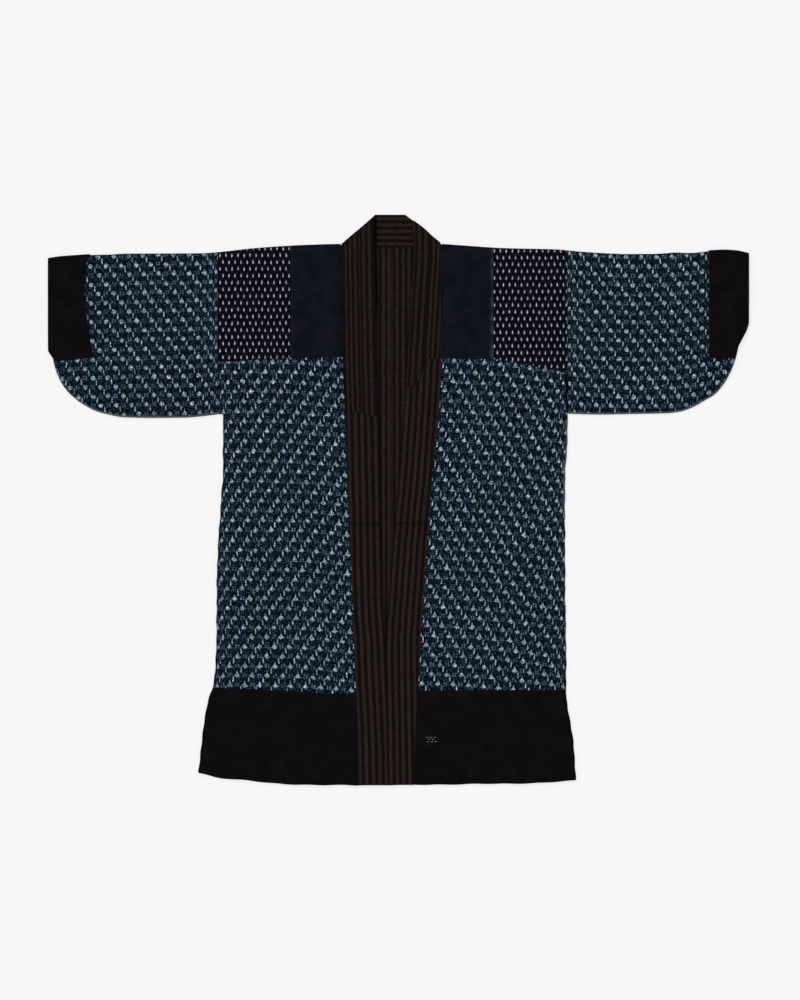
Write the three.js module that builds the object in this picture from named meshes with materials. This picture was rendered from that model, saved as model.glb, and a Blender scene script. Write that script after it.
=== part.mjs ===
// A patched farm jacket (noragi) laid flat on its back: two tubular sleeves, a body in two
// halves, shoulder patches folded over the shoulder line, a dark hem and cuffs, and a long
// collar band that folds over on a slant at the neck. Millimetres, +Z up, +Y towards the
// collar. Left and right are as seen from above with the collar at the top.
import * as THREE from "three";

// ---- Driving dimensions ----
const WALL = 2.0; // double cotton of the body and sleeves
const THIN_WALL = 1.0; // single cotton of the back lining and the collar covers
const CUFF_WALL = 1.2; // cotton of the cuff bands
const BAND = 2.6; // the folded collar band
const NECK_BAND = 3.0; // the same band behind the neck, with its turnings
const SEAM = 0.3; // gap at a seam and between two layers
const HALF_SEAM = SEAM / 2;
const COVER_GAP = 0.5; // from the sleeve to the cuff band that lies on it
const ROLL = 26; // how far in from an edge the upper layer reaches its full height
const BASE_LOFT = 1.1; // air under the upper layer
const ARMHOLE_LOFT = 0.3; // share of that air left at an armhole seam
const HEM_LOFT = 0.35; // and at the hem

// Cells in each piece's grid.
const CELLS = {
  back: { across: 7, up: 14, hem: 5 },
  front: { across: 10, up: 25, hem: 7 },
  yoke: { across: 6, back: 5, front: 9 },
  sleeve: { along: 16, back: 6, front: 10 },
  cuff: { along: 6, back: 8, front: 12 },
  band: { long: 28 },
  neck: { across: 8, up: 4 },
  lining: { across: 4, up: 18 },
};

const ARMHOLE = { left: -321.3, right: 299.9, foot: 153 };
const CENTRE = -13; // the seam down the middle of the back
const YOKE_SEAM = { left: -192, right: 167.5 }; // from the dotted patch to the plain one
const BACK_YOKE_FOOT = 250;
const BACK_HEM_SEAM = -338;
const NECK = { point: 453.6, middle: 449.6, left: -102, right: 74 };
const COVER_END = { left: 149.5, right: 253 };
const COVER_INSET = 0.03; // share of the band left clear at each side of its cover
const NAVY_BEND = 0.6; // share of a plain patch's inner edge that runs up the centre seam
const LINING = { top: 449, bottom: -350, under: 0.55 }; // its sides lie this far across the bands

// The folded top edge, from cuff to cuff.
const SHOULDER = [
  { x: -624, y: 431 },
  { x: -599, y: 434.5 },
  { x: -524, y: 438.5 },
  { x: -350, y: 439.5 },
  { x: -321, y: 441.5 },
  { x: -257, y: 448.5 },
  { x: -172, y: 454 },
  { x: -102, y: 456 },
  { x: 74, y: 456 },
  { x: 106, y: 454 },
  { x: 191, y: 448.5 },
  { x: 277, y: 446.5 },
  { x: 300, y: 444.8 },
  { x: 323, y: 442.5 },
  { x: 362, y: 439.8 },
  { x: 408, y: 438 },
  { x: 460, y: 438.5 },
  { x: 494, y: 440.9 },
  { x: 522, y: 441.5 },
  { x: 551, y: 444.5 },
  { x: 579, y: 446 },
  { x: 599, y: 445 },
  { x: 624, y: 440 },
];

// The body's side edges: armhole seams above the armpits, side seams below them.
const SIDES = [
  { y: -500, left: -358, right: 316 },
  { y: -470, left: -355, right: 314.6 },
  { y: -434, left: -350.5, right: 311.6 },
  { y: -399, left: -346.9, right: 307 },
  { y: -363, left: -340.2, right: 300.2 },
  { y: -352, left: -337.2, right: 298.8 },
  { y: -328, left: -330, right: 298.8 },
  { y: -285, left: -325.3, right: 298.7 },
  { y: -217, left: -324, right: 297.9 },
  { y: -160, left: -323.8, right: 296.9 },
  { y: -107, left: -322.5, right: 296.8 },
  { y: 0, left: -316, right: 296.5 },
  { y: 53, left: -312.5, right: 297.5 },
  { y: 107, left: -312.5, right: 301 },
  { y: 132, left: -312.5, right: 301.5 },
  { y: 153, left: -321.3, right: 299.9 },
  { y: 460, left: -321.3, right: 299.9 },
];

const HEM = [
  { x: -358, y: -485 },
  { x: -346, y: -488 },
  { x: -321, y: -494.5 },
  { x: -271, y: -499.5 },
  { x: -222, y: -504.5 },
  { x: -172, y: -507 },
  { x: -135, y: -508 },
  { x: -97, y: -507.8 },
  { x: -18, y: -508 },
  { x: 52, y: -507 },
  { x: 127, y: -506 },
  { x: 202, y: -505 },
  { x: 252, y: -503.8 },
  { x: 302, y: -500.5 },
  { x: 316, y: -499.3 },
];

// Seams across the front: under the shoulder patches and above the hem bands.
const FRONT_SEAMS = [
  { x: -345, yoke: 245, hem: -334 },
  { x: -321, yoke: 245.5, hem: -334.5 },
  { x: -192, yoke: 253.5, hem: -340.5 },
  { x: -98, yoke: 254.5, hem: -345 },
  { x: 79, yoke: 252, hem: -339 },
  { x: 167, yoke: 250.5, hem: -338.5 },
  { x: 300, yoke: 228, hem: -338 },
  { x: 320, yoke: 226, hem: -338 },
];

// The collar bands from the hem to the slanting folds beside the neck.
const COLLAR_LEFT = [
  { y: -508, outer: -71, inner: -19.3 },
  { y: -411, outer: -72.5, inner: -20.8 },
  { y: -335, outer: -75.5, inner: -22.3 },
  { y: -267, outer: -78.5, inner: -24 },
  { y: -178, outer: -81.5, inner: -29.4 },
  { y: 0, outer: -89, inner: -32.9 },
  { y: 178, outer: -96, inner: -36.5 },
  { y: 254, outer: -99, inner: -38.5 },
  { y: 349, outer: -100.5, inner: -40 },
  { y: 454, outer: -102.3, inner: -41.8 },
  { y: 459.7, outer: -97, inner: -41.9 },
  { y: 472.1, outer: -82.8, inner: -42.1 },
  { y: 490.1, outer: -61.4, inner: -42.4 },
  { y: 503.6, outer: -46, inner: -42.5 },
];
const COLLAR_RIGHT = [
  { y: -507.5, outer: 27.5, inner: -18.5 },
  { y: -411, outer: 30.5, inner: -19.9 },
  { y: -335, outer: 34.5, inner: -21.3 },
  { y: -267, outer: 38, inner: -22.3 },
  { y: -139, outer: 46.5, inner: -14.5 },
  { y: -48, outer: 53.5, inner: -7.5 },
  { y: 43, outer: 60, inner: 1 },
  { y: 110, outer: 66.5, inner: 6 },
  { y: 178, outer: 73, inner: 10.5 },
  { y: 254, outer: 76.5, inner: 14.5 },
  { y: 303, outer: 78, inner: 17.5 },
  { y: 356, outer: 77, inner: 20.5 },
  { y: 453, outer: 76.5, inner: 25.8 },
  { y: 459.1, outer: 74, inner: 25.7 },
  { y: 464.1, outer: 67.7, inner: 25.6 },
  { y: 469.9, outer: 60.5, inner: 25.5 },
  { y: 483.4, outer: 46.3, inner: 25.2 },
  { y: 497, outer: 28.5, inner: 25 },
];

// The collar band in section, from its outer seam (0) to its inner fold (1).
const BAND_SECTION = [
  { across: 0, crown: -0.7 },
  { across: 0.14, crown: -0.1 },
  { across: 0.5, crown: 0.2 },
  { across: 0.86, crown: 0 },
  { across: 1, crown: -0.8 },
];

// The neck band behind the neck, from its seam to its upper fold.
const NECK_ROWS = [
  { y: NECK.point, left: -101.6, right: 73.6 },
  { y: 497, left: -53, right: 27 },
  { y: 508, left: -42, right: 12 },
];

// A sleeve's corner is a quarter of an ellipse that ends upright at corner.end. Its cuff leans
// in at the foot, over the share cuff.lean of its height.
const LEFT_SLEEVE = {
  side: -1,
  seam: ARMHOLE.left,
  end: -624,
  foot: [
    { x: -600, y: 148 },
    { x: -560, y: 151.5 },
    { x: -520, y: 151 },
    { x: -488, y: 147.2 },
    { x: -442, y: 146 },
    { x: -380, y: 146.5 },
    { x: -350, y: 149 },
    { x: -321, y: 152.5 },
  ],
  corner: { end: -617, wide: 117, deep: 125 },
  cuff: { inner: -549, foot: 254, outerFoot: 246, corner: -613, lean: 0.12 },
};
const RIGHT_SLEEVE = {
  side: 1,
  seam: ARMHOLE.right,
  end: 624,
  foot: [
    { x: 300, y: 153.5 },
    { x: 362, y: 152 },
    { x: 415, y: 153 },
    { x: 480, y: 154.5 },
    { x: 500, y: 156.8 },
    { x: 523, y: 160.2 },
    { x: 545, y: 162 },
    { x: 566, y: 158 },
    { x: 588, y: 157.3 },
  ],
  corner: { end: 608, wide: 112, deep: 148 },
  cuff: { inner: 552, foot: 253, outerFoot: 253, corner: 600, lean: 0.4 },
};

// The largest soft folds of the upper layer: a line from a to b, its half width and height.
const FOLDS = [
  { name: "left armpit drag", a: [-305, 140], b: [-215, 40], half: 26, high: 1.0 },
  { name: "right armpit drag", a: [285, 140], b: [205, 50], half: 26, high: 0.9 },
  { name: "left sleeve run", a: [-590, 350], b: [-350, 300], half: 34, high: 0.9 },
  { name: "left sleeve droop", a: [-560, 215], b: [-390, 185], half: 24, high: 0.8 },
  { name: "right sleeve run", a: [600, 345], b: [340, 320], half: 34, high: 0.9 },
  { name: "right sleeve droop", a: [545, 215], b: [370, 190], half: 24, high: 0.8 },
  { name: "left front hang", a: [-255, -40], b: [-235, -330], half: 38, high: 0.9 },
  { name: "left front trough", a: [-165, 190], b: [-170, -260], half: 30, high: -0.5 },
  { name: "right front hang", a: [215, -30], b: [225, -330], half: 38, high: 0.9 },
  { name: "right front trough", a: [140, 180], b: [125, -260], half: 30, high: -0.5 },
  { name: "left hem flare", a: [-325, -470], b: [-240, -370], half: 28, high: 0.9 },
  { name: "right hem flare", a: [290, -475], b: [215, -385], half: 28, high: 0.8 },
  { name: "right neck crease", a: [88, 425], b: [112, 345], half: 16, high: 0.6 },
];

// ---- Cloths ----
const cloth = (color, roughness) => new THREE.MeshStandardMaterial({ color, roughness, metalness: 0 });
const KASURI = cloth(0x28323d, 0.92);
const DOTTED = cloth(0x22242c, 0.92);
const NAVY = cloth(0x12131b, 0.9);
const BLACK = cloth(0x100e11, 0.88);
const STRIPED = cloth(0x1d1715, 0.9);

// ---- Curves and grids ----
const mix = (a, b, t) => a + (b - a) * t;
const smooth = (at, low, high) => THREE.MathUtils.smoothstep(at, low, high);
const ticks = (count) => Array.from({ length: count + 1 }, (_, i) => i / count);

// Even ticks from 0 to 1 with the nearest one moved to each mark.
function ticksWith(count, marks) {
  const made = ticks(count);
  for (const mark of marks) {
    const nearest = Math.round(mark * count);
    if (nearest > 0 && nearest < count) made[nearest] = mark;
  }
  return made;
}

// A smooth curve through a table that never swings past its points: one column as a
// function of another, which must rise down the table.
function curve(table, key, column) {
  const last = table.length - 1;
  const secant = (i) => (table[i + 1][column] - table[i][column]) / (table[i + 1][key] - table[i][key]);
  const slope = (i) => {
    if (i === 0) return secant(0);
    if (i === last) return secant(last - 1);
    const [before, after] = [secant(i - 1), secant(i)];
    return before * after > 0 ? (2 * before * after) / (before + after) : 0;
  };
  return (at) => {
    const place = THREE.MathUtils.clamp(at, table[0][key], table[last][key]);
    const i = Math.min(table.findLastIndex((row) => row[key] <= place), last - 1);
    const width = table[i + 1][key] - table[i][key];
    const t = (place - table[i][key]) / width;
    const start = table[i][column];
    const rise = table[i + 1][column] - start;
    const a = slope(i) * width - rise;
    const b = rise - slope(i + 1) * width;
    return start + t * rise + t * (1 - t) * (a * (1 - t) + b * t);
  };
}

// A closed solid between the two faces of a piece of cloth. face(i, j, side) gives a point,
// where side is 1 on the outer face and 0 on the inner one. A tube closes along j.
function clothSolid(columns, rows, isTube, face) {
  const ring = isTube ? rows : rows + 1;
  const points = [];
  for (const side of [1, 0]) {
    for (let i = 0; i <= columns; i++) {
      for (let j = 0; j < ring; j++) {
        points.push(...face(i, j, side));
      }
    }
  }
  const at = (i, j, side) => (1 - side) * (columns + 1) * ring + i * ring + (j % ring);
  const index = [];
  const quad = (a, b, c, d) => index.push(a, b, c, a, c, d);
  const wall = (i, j, k, l) => quad(at(i, j, 1), at(k, l, 1), at(k, l, 0), at(i, j, 0));
  for (let i = 0; i < columns; i++) {
    for (let j = 0; j < rows; j++) {
      quad(at(i, j, 1), at(i + 1, j, 1), at(i + 1, j + 1, 1), at(i, j + 1, 1));
      quad(at(i, j, 0), at(i, j + 1, 0), at(i + 1, j + 1, 0), at(i + 1, j, 0));
    }
  }
  for (let j = 0; j < rows; j++) {
    wall(0, j, 0, j + 1);
    wall(columns, j + 1, columns, j);
  }
  if (!isTube) {
    for (let i = 0; i < columns; i++) {
      wall(i + 1, 0, i, 0);
      wall(i, rows, i + 1, rows);
    }
  }
  return outwards(points, index);
}

// A geometry whose triangles all face out of the closed solid.
function outwards(points, index) {
  const geometry = new THREE.BufferGeometry();
  geometry.setAttribute("position", new THREE.Float32BufferAttribute(points, 3));
  const corner = (k) => new THREE.Vector3().fromBufferAttribute(geometry.attributes.position, k);
  let volume = 0;
  for (let k = 0; k < index.length; k += 3) {
    volume += corner(index[k]).dot(corner(index[k + 1]).cross(corner(index[k + 2])));
  }
  geometry.setIndex(volume > 0 ? index : index.toReversed());
  geometry.computeVertexNormals();
  return geometry;
}

const jacket = new THREE.Group();

function addPiece(name, geometry, material) {
  const mesh = new THREE.Mesh(geometry, material);
  mesh.name = name;
  jacket.add(mesh);
}

// ---- Outline ----
const shoulder = curve(SHOULDER, "x", "y");
const hem = curve(HEM, "x", "y");
const sides = { left: curve(SIDES, "y", "left"), right: curve(SIDES, "y", "right") };
const yokeSeam = curve(FRONT_SEAMS, "x", "yoke");
const hemSeam = curve(FRONT_SEAMS, "x", "hem");
const collar = {
  left: { outer: curve(COLLAR_LEFT, "y", "outer"), inner: curve(COLLAR_LEFT, "y", "inner") },
  right: { outer: curve(COLLAR_RIGHT, "y", "outer"), inner: curve(COLLAR_RIGHT, "y", "inner") },
};

// The lower edge of a sleeve: nearly straight, then an elliptical corner up to the cuff.
function sleeveFoot(sleeve) {
  const straight = curve(sleeve.foot, "x", "y");
  const { end, wide, deep } = sleeve.corner;
  const centre = end - sleeve.side * wide;
  return (x) => {
    const out = THREE.MathUtils.clamp((sleeve.side * (x - centre)) / wide, 0, 1);
    return straight(x) + deep * (1 - Math.sqrt(1 - out * out));
  };
}
const feet = { left: sleeveFoot(LEFT_SLEEVE), right: sleeveFoot(RIGHT_SLEEVE) };

// The back neckline, lowest at the middle.
function neckline(x) {
  const half = x < CENTRE ? CENTRE - NECK.left : NECK.right - CENTRE;
  return mix(NECK.middle, NECK.point, Math.min(1, Math.abs(x - CENTRE) / half));
}

// ---- Height of the upper layer over the lower one ----
// The height of one fold at a place: full at the middle of its line, about half at its ends.
function ridge(fold, x, y) {
  const [ax, ay] = fold.a;
  const [dx, dy] = [fold.b[0] - ax, fold.b[1] - ay];
  const run = ((x - ax) * dx + (y - ay) * dy) / (dx * dx + dy * dy);
  const t = THREE.MathUtils.clamp(run, 0, 1);
  const away = Math.hypot(x - ax - t * dx, y - ay - t * dy) / fold.half;
  return fold.high * Math.exp(-away * away) * (0.45 + 0.55 * Math.sin(Math.PI * t));
}

// 0 at an edge, 1 once the cloth is a full roll away from it.
const rolled = (distance) => Math.sin((Math.PI / 2) * THREE.MathUtils.clamp(distance / ROLL, 0, 1));

// The share of its full loft that the upper layer of the body has at a place.
function bodyFade(x, y) {
  const fromArmholes = Math.min(x - ARMHOLE.left, ARMHOLE.right - x);
  const fromSides = Math.min(x - sides.left(y), sides.right(y) - x);
  const beside = mix(ARMHOLE_LOFT, 1, rolled(fromArmholes));
  const above = smooth(y, ARMHOLE.foot - ROLL / 2, ARMHOLE.foot + ROLL / 2);
  const across = mix(rolled(fromSides), beside, above);
  const atHem = mix(HEM_LOFT, 1, rolled((y - hem(x)) / 2));
  return across * rolled(shoulder(x) - y) * atHem;
}

function sleeveFade(x, y, side) {
  const along = mix(ARMHOLE_LOFT, 1, rolled(Math.abs(x - ARMHOLE[side])));
  return along * rolled(shoulder(x) - y) * rolled(y - feet[side](x));
}

function loft(x, y, fade) {
  const rise = FOLDS.reduce((sum, fold) => sum + ridge(fold, x, y), BASE_LOFT);
  return rise * fade;
}
const bodyLow = (x, y) => WALL + SEAM + loft(x, y, bodyFade(x, y));

// ---- Body panels ----
// The place at shares u and v between two side edges and between a lower and an upper edge.
function placeIn(edges, u, v) {
  let x = mix(edges.left(0), edges.right(0), u);
  let y = 0;
  for (let round = 0; round < 5; round++) {
    y = mix(edges.bottom(x), edges.top(x), v);
    x = mix(edges.left(y), edges.right(y), u);
  }
  return [x, y];
}

// A panel of body cloth: low(x, y) is the height of its underside.
function panel(edges, us, vs, low) {
  return clothSolid(us.length - 1, vs.length - 1, false, (i, j, side) => {
    const [x, y] = placeIn(edges, us[i], vs[j]);
    return [x, y, low(x, y) + side * WALL];
  });
}

function bodyEdges(half, bottom, top, middle) {
  if (half === "left") return { left: sides.left, right: middle, bottom, top };
  return { left: middle, right: sides.right, bottom, top };
}

function addBodyPanels(half) {
  const away = half === "left" ? -HALF_SEAM : HALF_SEAM;
  const backMiddle = () => CENTRE + away;
  const frontMiddle = (y) => collar[half].outer(y) + away;
  const lift = (edge) => (x) => edge(x) + HALF_SEAM;
  const drop = (edge) => (x) => edge(x) - HALF_SEAM;
  const onFloor = () => 0;

  const { back, front } = CELLS;

  const backFoot = () => BACK_HEM_SEAM + HALF_SEAM;
  const backTop = () => BACK_YOKE_FOOT - HALF_SEAM;
  const backArmpit = (ARMHOLE.foot - BACK_HEM_SEAM) / (BACK_YOKE_FOOT - BACK_HEM_SEAM);
  const backMain = bodyEdges(half, backFoot, backTop, backMiddle);
  const backRows = ticksWith(back.up, [backArmpit]);
  addPiece(`back_${half}`, panel(backMain, ticks(back.across), backRows, onFloor), KASURI);

  const backHem = bodyEdges(half, hem, () => BACK_HEM_SEAM - HALF_SEAM, backMiddle);
  addPiece(`back_hem_${half}`, panel(backHem, ticks(back.across), ticks(back.hem), onFloor), BLACK);

  const [seamLow, seamHigh] = [hemSeam(ARMHOLE[half]), yokeSeam(ARMHOLE[half])];
  const frontRows = ticksWith(front.up, [(ARMHOLE.foot - seamLow) / (seamHigh - seamLow)]);
  const frontMain = bodyEdges(half, lift(hemSeam), drop(yokeSeam), frontMiddle);
  addPiece(`front_${half}`, panel(frontMain, ticks(front.across), frontRows, bodyLow), KASURI);

  const frontHem = bodyEdges(half, hem, drop(hemSeam), frontMiddle);
  addPiece(`front_hem_${half}`, panel(frontHem, ticks(front.across), ticks(front.hem), bodyLow), BLACK);
}

// ---- Pieces folded over the shoulder line ----
const FOLD_RADIUS = WALL + HALF_SEAM; // outer radius of the fold: two walls with a seam between
const FOLD_TURNS = [-60, -20, 20, 60].map(THREE.MathUtils.degToRad);

// Rows up the back leaf, round the fold and down the front leaf.
function foldRows(backCount, frontCount) {
  return [
    ...ticks(backCount).map((share) => ({ leaf: "back", share })),
    ...FOLD_TURNS.map((turn) => ({ leaf: "fold", turn })),
    ...ticks(frontCount).map((share) => ({ leaf: "front", share })),
  ];
}

// The point of a fold at x: its turn goes from the back leaf (-90) to the front leaf (90).
function foldPoint(x, top, rest, turn, side, outer, wall) {
  const radius = side ? outer : outer - wall;
  return [x, top - outer + radius * Math.cos(turn), rest + outer + radius * Math.sin(turn)];
}

// A shoulder patch between an outer seam and an inner edge. backInner(share) is the inner
// edge of the back leaf as a point, because it follows the neckline at its upper end.
function shoulderPatch(outerX, innerX, backInner) {
  const columns = CELLS.yoke.across;
  const rows = foldRows(CELLS.yoke.back, CELLS.yoke.front);
  return clothSolid(columns, rows.length - 1, false, (i, j, side) => {
    const row = rows[j];
    const u = i / columns;
    const shoulderX = mix(outerX, innerX(NECK.point), u);
    if (row.leaf === "back") {
      const top = shoulder(outerX) - FOLD_RADIUS;
      const outer = [outerX, mix(BACK_YOKE_FOOT + HALF_SEAM, top, row.share)];
      const inner = backInner(row.share);
      const y = row.share === 1 ? shoulder(shoulderX) - FOLD_RADIUS : mix(outer[1], inner[1], u);
      return [mix(outer[0], inner[0], u), y, side ? 0 : WALL];
    }
    if (row.leaf === "fold") {
      return foldPoint(shoulderX, shoulder(shoulderX), 0, row.turn, side, FOLD_RADIUS, WALL);
    }
    const edges = {
      left: () => outerX,
      right: innerX,
      bottom: (x) => yokeSeam(x) + HALF_SEAM,
      top: (x) => shoulder(x) - FOLD_RADIUS,
    };
    const [x, y] = placeIn(edges, u, 1 - row.share);
    return [x, y, bodyLow(x, y) + side * WALL];
  });
}

function addShoulderPatches(half) {
  const away = half === "left" ? 1 : -1; // towards the neck
  const seam = YOKE_SEAM[half];
  const topAt = (x) => shoulder(x) - FOLD_RADIUS;
  const dotsInner = seam - away * HALF_SEAM;
  const dotsUp = (share) => [dotsInner, mix(BACK_YOKE_FOOT + HALF_SEAM, topAt(seam), share)];
  const dots = shoulderPatch(ARMHOLE[half] + away * HALF_SEAM, () => dotsInner, dotsUp);
  addPiece(`yoke_dots_${half}`, dots, DOTTED);

  const centre = CENTRE - away * HALF_SEAM;
  const frontInner = (y) => collar[half].outer(Math.min(y, NECK.point)) - away * HALF_SEAM;
  const navyUp = (share) => {
    const climb = Math.min(1, share / NAVY_BEND);
    if (climb < 1) return [centre, mix(BACK_YOKE_FOOT + HALF_SEAM, NECK.middle, climb)];
    const x = mix(centre, frontInner(NECK.point), (share - NAVY_BEND) / (1 - NAVY_BEND));
    return [x, neckline(x)];
  };
  const navy = shoulderPatch(seam + away * HALF_SEAM, frontInner, navyUp);
  addPiece(`yoke_navy_${half}`, navy, NAVY);
}

// ---- Sleeves and cuffs ----
const CUFF_REST = CUFF_WALL + COVER_GAP; // how far the cuff's lower leaf lifts the sleeve
const LIFT_MARGIN = 26; // how far past the cuff the sleeve stays lifted
const LIFT_RUN = 40; // and how far it then takes to come down
const CORNER_CROWDING = 1.8; // above 1, the sleeve's columns stand closer at its corner

// 1 where a sleeve lies on its cuff band, falling to 0 clear of it.
function onCuff(sleeve, x, y) {
  const inside = sleeve.side * (x - sleeve.cuff.inner) + LIFT_MARGIN;
  const above = y - sleeve.cuff.outerFoot + LIFT_MARGIN;
  return smooth(inside, -LIFT_RUN, 0) * smooth(above, -LIFT_RUN, 0);
}

function sleeveShape(sleeve, side) {
  const top = (x) => shoulder(x) - CUFF_REST * onCuff(sleeve, x, shoulder(x));
  const rest = (x, y) => CUFF_REST * onCuff(sleeve, x, y);
  const frontLow = (x, y) => rest(x, y) + WALL + SEAM + loft(x, y, sleeveFade(x, y, side));
  return { top, rest, frontLow, foot: feet[side] };
}

function addSleeve(sleeve, side) {
  const shape = sleeveShape(sleeve, side);
  const columns = CELLS.sleeve.along;
  const rows = foldRows(CELLS.sleeve.back, CELLS.sleeve.front);
  const footTurns = [...FOLD_TURNS].reverse();
  const start = sleeve.seam + sleeve.side * HALF_SEAM;
  const finish = sleeve.end - sleeve.side;
  const geometry = clothSolid(columns, rows.length + footTurns.length, true, (i, j, face) => {
    const x = mix(start, finish, 1 - Math.pow(1 - i / columns, CORNER_CROWDING));
    const top = shape.top(x);
    const foot = shape.foot(x);
    if (j >= rows.length) {
      const turn = footTurns[j - rows.length];
      const [, y, z] = foldPoint(x, 0, shape.rest(x, foot), turn, face, FOLD_RADIUS, WALL);
      return [x, foot - y, z];
    }
    const row = rows[j];
    if (row.leaf === "fold") {
      return foldPoint(x, top, shape.rest(x, top), row.turn, face, FOLD_RADIUS, WALL);
    }
    const up = row.leaf === "back" ? row.share : 1 - row.share;
    const y = mix(foot + FOLD_RADIUS, top - FOLD_RADIUS, up);
    if (row.leaf === "back") return [x, y, shape.rest(x, y) + (face ? 0 : WALL)];
    return [x, y, shape.frontLow(x, y) + (face ? WALL : 0)];
  });
  addPiece(`sleeve_${side}`, geometry, KASURI);
}

function addCuff(sleeve, side) {
  const shape = sleeveShape(sleeve, side);
  const { inner, foot, outerFoot, corner, lean } = sleeve.cuff;
  const columns = CELLS.cuff.along;
  const rows = foldRows(CELLS.cuff.back, CELLS.cuff.front);
  const radius = FOLD_RADIUS + CUFF_REST;
  const geometry = clothSolid(columns, rows.length - 1, false, (i, j, face) => {
    const u = i / columns;
    const row = rows[j];
    const topX = mix(inner, sleeve.end, u);
    if (row.leaf === "fold") {
      return foldPoint(topX, shoulder(topX), 0, row.turn, face, radius, CUFF_WALL);
    }
    // The lower outer corner leans in with the sleeve's own corner.
    const up = row.leaf === "back" ? row.share : 1 - row.share;
    const outer = mix(corner, sleeve.end, smooth(up, 0, lean));
    const x = mix(inner, outer, u);
    const y = mix(mix(foot, outerFoot, u), shoulder(x) - radius, up);
    if (row.leaf === "back") return [x, y, face ? 0 : CUFF_WALL];
    const underside = shape.frontLow(x, y) + WALL + COVER_GAP;
    return [x, y, underside + (face ? CUFF_WALL : 0)];
  });
  addPiece(`cuff_${side}`, geometry, BLACK);
}

// ---- Collar ----
const LINING_LOW = WALL + SEAM;
const BAND_LOW = LINING_LOW + THIN_WALL + SEAM;
const BESIDE_LINING = 0.4; // share of the band, from its outer seam, that lies beside the lining
const LINING_END = 10; // clear distance from the lining's lower end to where the band sinks
const LINING_RUN = 50; // and the length over which it sinks
const NECK_RUN = 25; // length over which the band rises onto the neck band
const bandCrown = curve(BAND_SECTION, "across", "crown");

// The underside of a band. It rests on the lining and on the neck band, and is lower beside
// the lining and below its end.
function bandLow(across, y) {
  const belowNeck = 1 - smooth(y, NECK.middle - 1.2 * NECK_RUN, NECK.middle - 0.2 * NECK_RUN);
  const beside = belowNeck * (1 - smooth(across, 0, BESIDE_LINING));
  const sinks = LINING.bottom - LINING_END;
  const below = 1 - smooth(y, sinks - LINING_RUN, sinks);
  return mix(BAND_LOW, LINING_LOW, Math.max(beside, below));
}

function bandHigh(across, y) {
  const middle = (BAND_LOW + bandLow(across, y)) / 2;
  return middle + BAND + bandCrown(across);
}

// The heights y of a band's rows, one of them at the lower end of its cover.
function bandLevels(half) {
  const table = half === "left" ? COLLAR_LEFT : COLLAR_RIGHT;
  const [from, to] = [table[0].y, table[table.length - 1].y];
  const coverEnd = (COVER_END[half] - from) / (to - from);
  const shares = ticksWith(Math.round((to - from) / CELLS.band.long), [coverEnd]);
  return shares.map((share) => mix(from, to, share));
}

// A strip along the collar through the given heights y, on the columns of BAND_SECTION.
function collarStrip(half, levels, inset, low, high) {
  const { outer, inner } = collar[half];
  return clothSolid(BAND_SECTION.length - 1, levels.length - 1, false, (i, j, face) => {
    const y = levels[j];
    const across = THREE.MathUtils.clamp(BAND_SECTION[i].across, inset, 1 - inset);
    const x = mix(outer(y), inner(y), across);
    return [x, y, face ? high(across, y) : low(across, y)];
  });
}

function addCollarBand(half) {
  const levels = bandLevels(half);
  addPiece(`collar_${half}`, collarStrip(half, levels, 0, bandLow, bandHigh), STRIPED);
  // The cover is laid over the same rows, down to its own end and short of the tip.
  const covered = levels.filter((y) => y > COVER_END[half] - 1).slice(0, -1);
  const low = (across, y) => bandHigh(across, y) + SEAM;
  const high = (across, y) => low(across, y) + THIN_WALL;
  addPiece(`collar_cover_${half}`, collarStrip(half, covered, COVER_INSET, low, high), STRIPED);
}

function addNeckBand() {
  const left = curve(NECK_ROWS, "y", "left");
  const right = curve(NECK_ROWS, "y", "right");
  const top = NECK_ROWS[NECK_ROWS.length - 1].y;
  const { across, up } = CELLS.neck;
  const geometry = clothSolid(across, up, false, (i, j, face) => {
    const share = j / up;
    const level = mix(NECK.point, top, share);
    const x = mix(left(level), right(level), i / across);
    const seam = neckline(x) + SEAM;
    return [x, mix(seam, top, share), face * NECK_BAND];
  });
  addPiece("collar_neck", geometry, STRIPED);
}

function addLining() {
  const { across, up } = CELLS.lining;
  const geometry = clothSolid(across, up, false, (i, j, face) => {
    const y = mix(LINING.bottom, LINING.top, j / up);
    const left = mix(collar.left.outer(y), collar.left.inner(y), LINING.under);
    const right = mix(collar.right.outer(y), collar.right.inner(y), LINING.under);
    return [mix(left, right, i / across), y, LINING_LOW + face * THIN_WALL];
  });
  addPiece("back_lining", geometry, STRIPED);
}

for (const half of ["left", "right"]) {
  addBodyPanels(half);
  addShoulderPatches(half);
  addCollarBand(half);
}
addSleeve(LEFT_SLEEVE, "left");
addSleeve(RIGHT_SLEEVE, "right");
addCuff(LEFT_SLEEVE, "left");
addCuff(RIGHT_SLEEVE, "right");
addNeckBand();
addLining();

export default jacket;
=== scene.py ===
"""Dresses the frame of a noragi, a patched farm jacket laid flat on its back: indigo kasuri
body and sleeves, dotted and navy shoulder patches, black hem and cuffs, and a long striped
collar. Tables are in millimetres, +X to the right, +Y towards the collar, +Z up; meshes are in
metres. Left and right are as seen from above with the collar at the top."""

import math
from collections import namedtuple

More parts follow.
